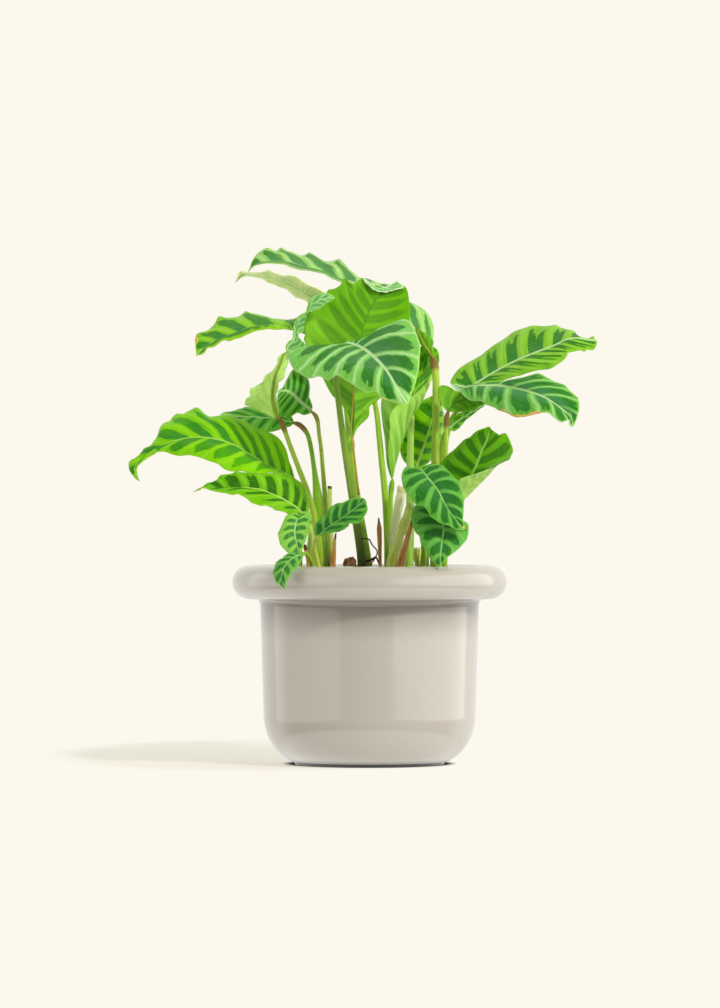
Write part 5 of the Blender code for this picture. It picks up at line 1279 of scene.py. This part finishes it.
stalks = {
    "crown_arch": {"foot": (55, 24), "path": [(55, 25, 190), (55, 27, 251), (55.5, 30, 305),
        (55.5, 34, 325), (54, 39, 336)], "radius": (4.2, 3), "look": "brownJoint"},
    "back_left": {"foot": (15.5, -1), "path": [(15, 0, 190), (13, 2, 226), (10, 6, 255),
        (8, 10, 275), (5, 17, 300), (-3, 27, 325), (-14, 33, 350), (-24, 35, 371)],
        "radius": (3, 1.9)},
    "centre_back": {"foot": (-1, -2), "path": [(-3, -2, 180), (-10, -2, 224), (-15, 0, 260)],
        "radius": (3.6, 2.4)},
    "centre_front": {"foot": (-6, -11), "path": [(-7, -11, 180), (-14, -12, 224),
        (-21.5, -12, 271), (-26, -11, 305), (-28, -10, 322), (-27, -12, 335), (-23, -18, 346)],
        "radius": (3.8, 2.3), "look": "dark"},
    "left_twisted": {"foot": (-40, -4), "path": [(-42, -5, 184), (-46, -7, 208), (-52, -8, 230),
        (-58, -9, 246), (-66, -9, 267), (-71, -9, 281)], "radius": (3.2, 1.9),
        "look": "brownJoint"},
    "left_upper": {"foot": (-2, 14), "path": [(-4, 14, 180), (-10, 15, 224), (-17, 18, 271),
        (-20, 22, 300), (-26, 27, 330), (-33, 31, 343)], "radius": (2.8, 1.8)},
    "left_broad": {"foot": (-46, -18), "path": [(-47, -18, 180), (-50, -16, 203), (-56, -13, 225),
        (-60, -8, 234)], "radius": (2.8, 2), "look": "paleYellow"},
    "left_low": {"foot": (-50, -34), "path": [(-50, -34, 180), (-49, -30, 194),
        (-50.5, -26, 203)], "radius": (2.2, 1.7), "look": "pale"},
    "left_nodding": {"foot": (-57, -44), "path": [(-57, -43, 180), (-56, -38, 198),
        (-57.5, -39.5, 208)], "radius": (1.9, 1.5)},
    "over_rim": {"foot": (-47, -60), "path": [(-48, -66, 171), (-51, -76, 177), (-53, -82, 178)],
        "radius": (1.8, 1.4)},
    "small_front": {"foot": (-41, -46), "path": [(-43, -47, 172), (-45, -50, 182),
        (-44.5, -53, 188)], "radius": (1.8, 1.5), "look": "paleYellow"},
    "left_behind": {"foot": (-37, 5), "path": [(-40, 5, 184), (-43, 8, 222), (-46, 10, 247),
        (-49, 14, 266), (-52, 17, 277), (-58, 20, 284)], "radius": (5, 1.9), "taper": (0.4, 0.72),
        "look": "darkFoot"},
    "left_inner": {"foot": (-32, 13), "path": [(-34, 13, 184), (-37, 14, 224), (-40, 15, 261),
        (-42, 16, 276), (-43, 17, 286), (-45, 17.5, 292)], "radius": (2.8, 1.6),
        "look": "yellow"},
    "inner_folded": {"foot": (18, 9), "path": [(18, 9, 190), (17.5, 9, 215), (18, 9, 230)],
        "radius": (3, 2)},
    "inner_upright": {"foot": (47, 35), "path": [(47, 35, 180), (45, 36, 210), (41, 37, 236)],
        "radius": (2.8, 1.9)},
    "back_hidden": {"foot": (33, 22), "path": [(33.5, 22, 190), (34, 24, 215), (34, 30, 250),
        (34.5, 37, 274), (35, 43, 289), (34, 54, 300), (31.5, 63, 307)], "radius": (3.9, 2.6),
        "look": "pale"},
    "right_upper": {"foot": (58, 42), "path": [(59, 42, 190), (60, 44, 251), (62, 46, 273),
        (69, 43, 290), (78, 35, 302)], "radius": (2.8, 2), "look": "brownJoint"},
    "right_drooping": {"foot": (62, 33), "path": [(63, 33, 190), (63.5, 33, 250), (65, 33, 275),
        (72, 29, 294), (79, 25, 300), (82, 19, 306)], "radius": (2.4, 1.8), "look": "brownJoint"},
    "right_lobe": {"foot": (62, 10), "path": [(63, 10, 190), (63.5, 10, 251), (63.5, 10, 275),
        (64, 9, 289)], "radius": (2.4, 1.9), "look": "brownJoint"},
    "right_narrow": {"foot": (61, 22), "path": [(62, 22, 190), (62.5, 21, 250), (64, 17.5, 271)],
        "radius": (2, 1.4)},
    "right_low": {"foot": (62, -8), "path": [(63, -8, 178), (68, -12, 197), (74, -17, 213)],
        "radius": (2.4, 1.8)},
    "front_right": {"foot": (44, -24), "path": [(45, -25, 180), (44, -31, 205), (42, -40, 232),
        (41, -47, 244)], "radius": (2.6, 1.8)},
    "front_low": {"foot": (53, -34), "path": [(54, -36, 176), (54, -42, 196), (54, -51, 209)],
        "radius": (2.2, 1.7)},
}
stubs = {
    "sheath_stub_tall": {"foot": (19, -16), "path": [(20, -16, 190), (23, -16, 212),
        (27, -17, 232)], "radius": (3.8, 4), "look": "paleSheath", "rough": 0.3,
        "slot": "pale_sheath", "cup": 5},
    "sheath_stub_leaning": {"foot": (17, -27), "path": [(19, -27, 172), (26, -28, 195),
        (35, -29, 217)], "radius": (4.2, 4.4), "look": "greenSheath", "rough": 0.3,
        "slot": "pale_sheath", "cup": 5},
    "dry_stalk_leaning": {"foot": (24, -38), "path": [(26, -38, 172), (31, -39, 190),
        (36, -40, 206)], "radius": (4.2, 1.3), "look": "dryBrown", "rough": 0.25,
        "slot": "dry_stalk"},
    "dry_stub_pointed": {"foot": (9, -22), "path": [(8.5, -22, 180), (8, -22, 195),
        (7.5, -22, 207)], "radius": (0.7, 2.5), "look": "dryDark", "point": 0.82,
        "slot": "dry_stalk"},
    "cut_stub_left": {"foot": (-30, -1), "path": [(-31, -1, 180), (-33, -1, 210), (-33, -1, 233)],
        "radius": (2.2, 1.9), "look": "cutTop", "slot": "stalk", "cup": 2},
    "dry_sheath_left": {"foot": (-30, -14), "path": [(-30, -14, 172), (-29, -14, 183),
        (-28, -14, 194)], "radius": (4.2, 0.6), "look": "dryBrown", "slot": "dry_stalk", "cup": 2,
        "rough": 0.5},
    "dry_scrap_left": {"foot": (-49, -50), "path": [(-49, -50, 168), (-51, -50, 176),
        (-53.5, -50, 185)], "radius": (3.2, 1.4), "look": "dryBrown", "slot": "dry_stalk"},
    "sheath_scrap_right": {"foot": (40, -12), "path": [(40.5, -12, 168), (40, -12, 175),
        (39, -12, 182)], "radius": (3.4, 2.8), "look": "greenSheath", "rough": 0.5,
        "slot": "pale_sheath", "cup": 3},
}

# Thin pieces laid over the others: thick ribs, brown edges, torn fibres and dry roots.
threads = {
    "rib_left_twisted": {"line": [(-74.1, -12, 287.8), (-76.4, -12, 291.6), (-78.7, -12, 296.9),
        (-80.2, -12, 304.4), (-80.1, -12, 313.5), (-78.3, -12, 323.9), (-74.5, -12, 332.9),
        (-71.2, -12, 342.8)], "radius": (2, 1), "look": "olive", "slot": "stalk"},
    "rib_crown_arch": {"line": [(53.1, 31, 339.5), (49.5, 29, 345.7), (45.5, 27, 351.9),
        (42.2, 26, 358.1), (39.3, 25, 363.5)], "radius": (1.3, 0.7), "look": "olive",
        "slot": "stalk"},
    "edge_centre_sheath": {"line": [(-8.7, -13, 225.7), (-11.2, -12, 246.4), (-13.2, -11, 263),
        (-15.2, -9, 279.6), (-14.5, -7, 296.2), (-13.1, -6, 316.1)], "radius": (0.9, 0.6),
        "look": "orange", "slot": "stalk"},
    "root_wiry": {"line": [(-6.2, -18, 189.8), (-0.5, -19, 189), (2, -20, 184.8),
        (6.4, -20, 178.8), (4.1, -19, 172.8), (0.8, -18, 167.9)], "radius": (0.6, 0.5),
        "look": "root", "slot": "dry_stalk"},
    "root_short": {"line": [(-2.9, -19, 170.8), (1.2, -20, 172), (5.3, -20, 174.1),
        (7.8, -19, 168.7)], "radius": (1.4, 0.5), "look": "root", "slot": "dry_stalk"},
    "thread_left_low": {"line": [(-138.5, -59.5, 230.5), (-141, -59.8, 229.6), (-143, -60, 228.9),
        (-144.6, -60.6, 228)], "radius": (0.5, 0.3), "look": "thread", "slot": "dry_stalk"},
    "fibre_right_1": {"line": [(40.1, -15, 167), (38.8, -15, 174.5), (37.4, -15, 181.1)],
        "radius": (0.9, 0.35), "look": "greenSheath", "slot": "pale_sheath"},
    "fibre_right_2": {"line": [(40.9, -16, 167), (40.9, -16, 175.3), (42.1, -16, 182.7)],
        "radius": (0.9, 0.35), "look": "greenSheath", "slot": "pale_sheath"},
    "fibre_right_3": {"line": [(41.7, -14, 167), (43, -14, 173.6), (45.9, -14, 180.2)],
        "radius": (0.9, 0.35), "look": "greenSheath", "slot": "pale_sheath"},
    "fibre_right_4": {"line": [(42.6, -15, 167), (45, -15, 172), (47.9, -15, 176.1)],
        "radius": (0.9, 0.35), "look": "greenSheath", "slot": "pale_sheath"},
}

for stalkName, stalk in stalks.items():
    makeStalk("stem_" + stalkName, stalk, leaves[stalkName], "stalk_" + stalkName)
for stubName, stub in stubs.items():
    makeStub("old_" + stubName, stub, stubName)
for threadName, thread in threads.items():
    makeThread(threadName, thread)

print("stage: stalks done")


# Bark chip and potting soil: dark peat crumb, matte and nearly black, with brown bark flakes
# and a few thin dry roots.

# Heights, radii and lump sizes in mm; the rounded lower corner follows the pot's inner wall.
soilBody = {"edge": 151, "crown": 161, "radius": 85.1, "lumps": 2.6, "lumpSize": 9,
            "lumpsUntil": 0.9, "corner": (54.0, 42.0), "cornerSize": (28.2, 33.7),
            "topShare": 0.7, "cornerShares": (0.1, 0.8), "rows": 110, "columns": 120}
crumbs = {"seed": 11, "count": 420, "spread": 0.95, "size": (1.0, 2.6), "brownEvery": 4,
          "flakeFlat": (0.35, 0.6), "crumbFlat": (0.7, 1.0), "narrow": (0.5, 1.0),
          "tilt": 0.9, "lift": 0.3, "dentSpace": 0.9, "dent": 0.45}
crumbFinish = {"detail": 6.0, "rough": 0.7, "edge": (0.4, 0.7), "relief": 0.8, "bump": 0.001,
               "roughness": 0.95, "specular": 0.2}


def crumbMaterial(name, dark, light, scale):
    material, tree, shader = newMaterial(name)
    at = addNode(tree, "ShaderNodeTexCoord", {}, output=3)
    coarse = addNode(tree, "ShaderNodeTexNoise", {
        "Vector": at, "Scale": scale, "Detail": crumbFinish["detail"],
        "Roughness": crumbFinish["rough"]})
    low, high = crumbFinish["edge"]
    share = addNode(tree, "ShaderNodeMapRange", {0: coarse, 1: low, 2: high})
    colour = layTones(tree, dark, (share, 1.0, light))
    bump = addNode(tree, "ShaderNodeBump", {
        "Height": coarse, "Strength": crumbFinish["relief"], "Distance": crumbFinish["bump"]})
    fillInputs(tree, shader, {"Base Color": colour, "Normal": bump,
                              "Roughness": crumbFinish["roughness"],
                              "Specular IOR Level": crumbFinish["specular"]})
    return material


peat = crumbMaterial("peat_crumb", "#1C1712", "#3C3024", 420.0)
bark = crumbMaterial("pine_bark", "#4E3220", "#B08458", 300.0)


def soilHeight(x, y):
    share = min(math.hypot(x, y) / soilBody["radius"], 1)
    rise = soilBody["crown"] - soilBody["edge"]
    height = soilBody["edge"] + rise * 0.5 * (1 + math.cos(math.pi * share))
    lumpSize = soilBody["lumpSize"]
    lump = noise.fractal(Vector((x / lumpSize, y / lumpSize, 3.7)), 0.8, 2.1, 4)
    return height + soilBody["lumps"] * lump * (1 - smoothStep(share, soilBody["lumpsUntil"],
                                                               1.0))


def makeSoil():
    cornerX, cornerZ = soilBody["corner"]
    wide, deep = soilBody["cornerSize"]
    topShare = soilBody["topShare"]
    start, end = soilBody["cornerShares"]

    def place(along, around):
        angle = 2 * math.pi * around
        if along < topShare:
            radius = soilBody["radius"] * along / topShare
            x, y = radius * math.cos(angle), radius * math.sin(angle)
            return Vector((x, y, soilHeight(x, y))) * mm
        turn = (along - topShare) / (1 - topShare)
        if turn < end:
            sweep = -math.pi / 2 * max(turn - start, 0) / (end - start)
            radius = cornerX + wide * math.cos(sweep)
            height = cornerZ + deep * math.sin(sweep)
        else:
            radius = cornerX * (1 - turn) / (1 - end)
            height = cornerZ - deep
        return Vector((radius * math.cos(angle), radius * math.sin(angle), height)) * mm

    piece = gridPiece("pottingSoil", soilBody["rows"], soilBody["columns"], place)
    closeSeams(piece)
    finishPiece(piece, "soil", "potting_soil", [peat])


def makeCrumbs():
    # Loose crumb and bark flakes, each a rough ball pressed into the soil.
    draw = random.Random(crumbs["seed"])
    parts = {"soilCrumbs": [], "barkFlakes": []}
    for index in range(crumbs["count"]):
        angle = draw.uniform(0, 2 * math.pi)
        radius = soilBody["radius"] * crumbs["spread"] * math.sqrt(draw.random())
        x, y = radius * math.cos(angle), radius * math.sin(angle)
        size = draw.uniform(*crumbs["size"])
        brown = index % crumbs["brownEvery"] == 0
        flat = draw.uniform(*crumbs["flakeFlat" if brown else "crumbFlat"])
        turn = Matrix.Rotation(draw.uniform(0, 6.3), 3, "Z") @ Matrix.Rotation(
            draw.uniform(-crumbs["tilt"], crumbs["tilt"]), 3, "X")
        parts["barkFlakes" if brown else "soilCrumbs"].append((
            Vector((x, y, soilHeight(x, y) + size * crumbs["lift"])), turn,
            Vector((size, size * draw.uniform(*crumbs["narrow"]), size * flat))))
    for kind, places in parts.items():
        bpy.ops.object.select_all(action="DESELECT")
        for index, (at, turn, size) in enumerate(places):
            bpy.ops.mesh.primitive_ico_sphere_add(
                subdivisions=1, radius=1, location=at * mm, rotation=turn.to_euler(),
                scale=size * mm, enter_editmode=index == 0)
        ball = bpy.context.object
        bpy.ops.object.mode_set(mode="OBJECT")
        ball.name = kind
        for vertex in ball.data.vertices:
            spot = vertex.co / mm
            rough = Vector([noise.noise(spot * crumbs["dentSpace"] + Vector((shift, 0, 0)))
                            for shift in (0, 40, 80)])
            vertex.co += rough * crumbs["dent"] * mm
        finishPiece(ball, None, "bark" if kind == "barkFlakes" else "potting_soil",
                    [bark if kind == "barkFlakes" else peat])
        ball.data.shade_flat()


def makeBarkChip():
    chip = {"at": (-16, -30, 164.8), "size": (13, 9, 13), "cuts": 7,
            "turns": (("Z", 24), ("Y", -10), ("X", 8)), "taper": 0.45, "rough": 0.12,
            "roughPlaces": 5, "grain": 0.6, "grainPlaces": (14, 5)}
    bpy.ops.object.select_all(action="DESELECT")
    bpy.ops.mesh.primitive_cube_add(size=1)
    piece = bpy.context.object
    piece.name = "barkChip"
    bpy.ops.object.mode_set(mode="EDIT")
    bpy.ops.mesh.subdivide(number_cuts=chip["cuts"])
    bpy.ops.object.mode_set(mode="OBJECT")
    turn = Matrix.Identity(3)
    for axis, degrees in chip["turns"]:
        turn = turn @ Matrix.Rotation(math.radians(degrees), 3, axis)
    wide, deep, tall = chip["size"]
    up, inwards = chip["grainPlaces"]
    for vertex in piece.data.vertices:
        spot = vertex.co.copy()
        taper = 1 - chip["taper"] * (spot.z + 0.5)
        shaped = Vector((spot.x * wide * taper, spot.y * deep * taper, spot.z * tall))
        shaped *= 1 + chip["rough"] * noise.noise(spot * chip["roughPlaces"])
        shaped.x += chip["grain"] * math.sin(spot.z * up + spot.y * inwards)
        vertex.co = (turn @ shaped + Vector(chip["at"])) * mm
    finishPiece(piece, "bark_chip", "bark", [bark])


makeSoil()
makeCrumbs()
makeBarkChip()
print("stage: soil done")


# Pot. Stoneware under a thick glossy glaze: warm grey, smooth, with soft broad reflections.

potSizes = {"height": 165.0, "rimRadius": 114.0, "roll": 14.0, "bodyTop": 90.8,
            "bodyLow": 88.1, "wall": 5.6, "floor": 8.0, "cornerWidth": 34.1,
            "cornerHeight": 42.0, "wallRise": 4, "rollFrom": 165, "neckDrop": 6,
            "bodyRings": 10, "steps": 180}
# The curve from under the rim into the body as radius and drop, and the foot ring as radius
# and height.
potNeck = ((95.5, 0), (93.6, 0.4), (92.2, 1.4), (91.3, 3))
potFoot = ((64.5, 2.3), (63.0, 2.2), (62.3, 1.6), (62.0, 0.4), (61.5, 0))
# Heights and radii in metres, where each mask starts and ends.
# The pool tone is painted shade under the rim: it darkens the neck and the roll's underside.
glaze = {"colours": ("#B7B0A3", "#BDB6A9"), "cloudScale": 9.0, "foot": "#2E2B24",
         "footAndContactShadeHeight": (0.0015, 0.006), "paintedNeckShade": "#7C7466", "paintedNeckShadeShare": 0.72,
         "neckHeight": (0.100, 0.1335), "neckRadius": (0.0925, 0.108), "wallRadius": 0.0895,
         "rimHeight": (0.143, 0.151), "rippleScale": 30.0, "ripple": 0.12,
         "rippleDepth": 0.0008, "roughness": 0.2, "coat": 0.6, "coatRoughness": 0.06}


def arc(centre, radii, start, end, steps):
    points = []
    for step in range(steps + 1):
        angle = math.radians(start + (end - start) * step / steps)
        points.append((centre[0] + radii[0] * math.cos(angle),
                       centre[1] + radii[1] * math.sin(angle)))
    return points


def glazeMaterial():
    material, tree, shader = newMaterial("glazed_stoneware")
    at = addNode(tree, "ShaderNodeTexCoord", {}, output=3)
    cloud = addNode(tree, "ShaderNodeTexNoise", {"Vector": at, "Scale": glaze["cloudScale"],
                                                 "Detail": 3.0})
    height = addNode(tree, "ShaderNodeSeparateXYZ", {0: at}).node.outputs[2]
    radius = addNode(tree, "ShaderNodeVectorMath", {
        0: addNode(tree, "ShaderNodeVectorMath", {0: at, 1: (1, 1, 0)},
                   operation="MULTIPLY")}, output=1, operation="LENGTH")
    # The foot ring is darker: an unglazed foot, and painted contact shade where it meets the floor.
    # The neck under the rim and the underside of the roll are deeper in tone, on the outside only:
    # painted shade under the rim.
    masks = [addNode(tree, "ShaderNodeMapRange", {0: place, 1: low, 2: high, 3: first,
                                                  4: 1.0 - first}, interpolation_type=ease)
             for place, (low, high), first, ease in (
                 (height, glaze["footAndContactShadeHeight"], 1.0, "SMOOTHSTEP"),
                 (height, glaze["neckHeight"], 0.0, "SMOOTHSTEP"),
                 (radius, glaze["neckRadius"], 1.0, "SMOOTHSTEP"),
                 (height, glaze["rimHeight"], 1.0, "LINEAR"))]
    # The foot mask darkens the foot ring: partly an unglazed foot, partly painted contact shade.
    foot, paintedShade = masks[:2]
    outside = addNode(tree, "ShaderNodeMath", {0: radius, 1: glaze["wallRadius"]},
                      operation="GREATER_THAN")
    for mask in (masks[2], outside, masks[3]):
        paintedShade = addNode(tree, "ShaderNodeMath", {0: paintedShade, 1: mask}, operation="MULTIPLY")
    colour = layTones(tree, glaze["colours"][0], (cloud, 1.0, glaze["colours"][1]),
                      (foot, 1.0, glaze["foot"]), (paintedShade, glaze["paintedNeckShadeShare"], glaze["paintedNeckShade"]))
    ripple = addNode(tree, "ShaderNodeTexNoise", {
        "Vector": at, "Scale": glaze["rippleScale"], "Detail": 2.0})
    bump = addNode(tree, "ShaderNodeBump", {"Height": ripple, "Strength": glaze["ripple"],
                                            "Distance": glaze["rippleDepth"]})
    coat = addNode(tree, "ShaderNodeMapRange", {0: foot, 3: glaze["coat"], 4: 0.0})
    fillInputs(tree, shader, {"Base Color": colour, "Normal": bump, "Coat Weight": coat,
                              "Roughness": glaze["roughness"],
                              "Coat Roughness": glaze["coatRoughness"]})
    return material


def makePot():
    pot = potSizes
    rollCentre = (pot["rimRadius"] - pot["roll"], pot["height"] - pot["roll"])
    corner = (pot["bodyLow"] - pot["cornerWidth"], pot["cornerHeight"])
    innerLow = pot["bodyLow"] - pot["wall"]
    profile = [(0, pot["floor"])]
    profile += arc(corner, (innerLow - corner[0], pot["cornerHeight"] - pot["floor"]),
                   -90, 0, 10)
    profile += [(pot["bodyTop"] - pot["wall"], rollCentre[1] - pot["wallRise"])]
    profile += arc(rollCentre, (pot["roll"], pot["roll"]), pot["rollFrom"], -90, 40)
    low = rollCentre[1] - pot["roll"]
    profile += [(radius, low - drop) for radius, drop in potNeck]
    bodyHigh = low - pot["neckDrop"]
    for share in (step / pot["bodyRings"] for step in range(pot["bodyRings"])):
        profile.append((pot["bodyTop"] + (pot["bodyLow"] - pot["bodyTop"]) * share,
                        bodyHigh * (1 - share) + pot["cornerHeight"] * share))
    profile += arc(corner, (pot["cornerWidth"], pot["cornerHeight"]), 0, -70, 28)
    profile += [*potFoot, (0, 0)]

    def place(along, around):
        radius, height = profile[round(along * (len(profile) - 1))]
        angle = 2 * math.pi * around
        return Vector((radius * math.cos(angle), radius * math.sin(angle), height)) * mm

    piece = gridPiece("glazedPot", len(profile) - 1, pot["steps"], place)
    closeSeams(piece)
    finishPiece(piece, "pot", "glazed_ceramic", [glazeMaterial()])


makePot()
print("stage: pot done")


# Floor, backdrop and light: a warm white paper studio, a wide soft wall of light on the
# right, a card on the left, and one smaller lamp that casts the pot's shadow. The paper glows
# a little, so that it stays as pale as in the photo, and is plain matte only near the pot.

# The paper under and round the pot's foot is darkened and does not glow: a painted contact shadow.
paper = {"colour": "#FCF8ED", "albedo": (0.46, 0.441, 0.385, 1), "glow": 0.46,
         "near": 0.064, "clear": 0.075, "under": ((0, 0.008, 0), (1, 0.9, 1)),
         "contactShadowAlbedo": (0.10, 0.095, 0.08, 1), "radius": 14.0, "shadowAt": (-0.10, 0.17),
         "shadowReach": (0.19, 0.33), "shadowEdge": 0.72}
lamps = {
    "wallRight": {"azimuth": 74, "height": 16, "distance": 2.6, "size": (6.6, 2.6),
                  "radiance": 1.3, "colour": "#FBFAF8", "glossy": True},
    "cardLeft": {"azimuth": -75, "height": 14, "distance": 1.7, "size": (3.5, 1.9),
                 "radiance": 0.85, "colour": "#FCFBF8", "glossy": True},
    "lampRight": {"azimuth": 38, "height": 34, "distance": 3.0, "size": (0.3, 0.3),
                  "radiance": 150.0, "colour": "#FFFCF6", "glossy": False},
}
# Strength of the surroundings by height: the floor below, then the dim room at the front,
# brighter upwards, with bright paper behind the pot.
sky = {"floor": 1.28, "floorEnd": (-0.46, -0.41), "dim": 0.06, "level": 0.38, "zenith": 0.5,
       "back": 1.0, "backFrom": (0.1, 0.45), "colour": "#FBFAF7"}
lampAim = 0.2  # metres above the pot's foot


def plainEmission(name):
    material, tree, shader = newMaterial(name)
    fillInputs(tree, shader, {"Base Color": (0, 0, 0, 1), "Roughness": 1.0,
                              "Specular IOR Level": 0.0, "Emission Color": paper["colour"],
                              "Emission Strength": 1.0})
    return material, tree, shader


def makeStage():
    material, tree, shader = plainEmission("studio_paper_floor")
    at = addNode(tree, "ShaderNodeTexCoord", {}, output=3)
    fromPot = addNode(tree, "ShaderNodeVectorMath", {0: at, 1: paper["under"][0]},
                      operation="SUBTRACT")
    fromPot = addNode(tree, "ShaderNodeVectorMath", {0: fromPot, 1: paper["under"][1]},
                      operation="MULTIPLY")
    fromPot = addNode(tree, "ShaderNodeVectorMath", {0: fromPot}, output=1,
                      operation="LENGTH")
    # Mask of the painted contact shadow under the pot's foot.
    under = addNode(tree, "ShaderNodeMapRange", {
        0: fromPot, 1: paper["near"], 2: paper["clear"], 3: 1.0, 4: 0.0},
        interpolation_type="SMOOTHSTEP")
    shade = addNode(tree, "ShaderNodeVectorMath", {
        0: at, 1: (*paper["shadowAt"], 0)}, operation="SUBTRACT")
    shade = addNode(tree, "ShaderNodeVectorMath", {
        0: shade, 1: (1 / paper["shadowReach"][0], 1 / paper["shadowReach"][1], 1)},
        operation="MULTIPLY")
    shade = addNode(tree, "ShaderNodeVectorMath", {0: shade}, output=1, operation="LENGTH")
    beyond = addNode(tree, "ShaderNodeMapRange", {0: shade, 1: paper["shadowEdge"], 2: 1.0},
                     interpolation_type="SMOOTHSTEP")
    clearGlow = addNode(tree, "ShaderNodeMapRange", {0: beyond, 3: paper["glow"], 4: 1.0})
    glow = addNode(tree, "ShaderNodeMapRange", {0: under, 3: 1.0, 4: 0.0})
    glow = addNode(tree, "ShaderNodeMath", {0: clearGlow, 1: glow}, operation="MULTIPLY")
    albedo = layTones(tree, paper["albedo"], (beyond, 1.0, (0, 0, 0, 1)),
                      (under, 1.0, paper["contactShadowAlbedo"]))
    fillInputs(tree, shader, {"Base Color": albedo, "Emission Strength": glow})
    bpy.ops.object.select_all(action="DESELECT")
    bpy.ops.mesh.primitive_plane_add(size=2 * paper["radius"])
    floor = bpy.context.object
    floor.name = "floor"
    floor.data.materials.append(material)
    floor.visible_diffuse = False
    floor.visible_glossy = False
    dome = plainEmission("studio_paper_backdrop")[0]
    bpy.ops.object.select_all(action="DESELECT")
    bpy.ops.mesh.primitive_uv_sphere_add(segments=48, ring_count=24, radius=paper["radius"])
    backdrop = bpy.context.object
    backdrop.name = "backdrop"
    backdrop.data.materials.append(dome)
    backdrop.visible_diffuse = False
    backdrop.visible_glossy = False
    backdrop.visible_transmission = False
    backdrop.visible_shadow = False


def addLamp(name, lamp):
    # Azimuth runs from the viewer's side round to the right, height is above level.
    azimuth, height = math.radians(lamp["azimuth"]), math.radians(lamp["height"])
    aim = Vector((0, 0, lampAim))
    at = aim + lamp["distance"] * Vector((math.sin(azimuth) * math.cos(height),
                                          -math.cos(azimuth) * math.cos(height),
                                          math.sin(height)))
    data = bpy.data.lights.new(name, "AREA")
    data.shape = "RECTANGLE"
    data.size, data.size_y = lamp["size"]
    data.energy = math.pi * data.size * data.size_y * lamp["radiance"]
    data.color = linearColour(lamp["colour"])[:3]
    light = bpy.data.objects.new(name, data)
    light.location = at
    light.rotation_euler = (aim - at).to_track_quat("-Z", "Y").to_euler()
    light.visible_glossy = lamp["glossy"]
    light.visible_camera = False
    bpy.context.scene.collection.objects.link(light)


def makeSky():
    world = bpy.data.worlds.new("studio")
    world.use_nodes = True
    tree = world.node_tree
    background = tree.nodes["Background"]
    at = addNode(tree, "ShaderNodeTexCoord", {}, output=0)
    parts = addNode(tree, "ShaderNodeSeparateXYZ", {0: at}).node.outputs
    depth, height = parts[1], parts[2]
    front = addNode(tree, "ShaderNodeMapRange", {0: height, 1: sky["floorEnd"][1], 2: 0.0,
                                                 3: sky["dim"], 4: sky["level"]})
    up = addNode(tree, "ShaderNodeMapRange", {0: height, 3: 0.0,
                                              4: sky["zenith"] - sky["level"]})
    up = addNode(tree, "ShaderNodeMath", {0: front, 1: up}, operation="ADD")
    down = addNode(tree, "ShaderNodeMapRange", {0: height, 1: sky["floorEnd"][0],
                                                2: sky["floorEnd"][1], 3: 1.0, 4: 0.0})
    back = addNode(tree, "ShaderNodeMapRange", {0: depth, 1: sky["backFrom"][0],
                                                2: sky["backFrom"][1]})
    up = addNode(tree, "ShaderNodeMix", {0: back, 2: up, 3: sky["back"]})
    strength = addNode(tree, "ShaderNodeMix", {0: down, 2: up, 3: sky["floor"]})
    fillInputs(tree, background, {0: sky["colour"], 1: strength})
    bpy.context.scene.world = world


makeStage()
for lampName, lamp in lamps.items():
    addLamp(lampName, lamp)
makeSky()
bpy.context.scene.view_settings.view_transform = "Standard"
print("stage: studio done")
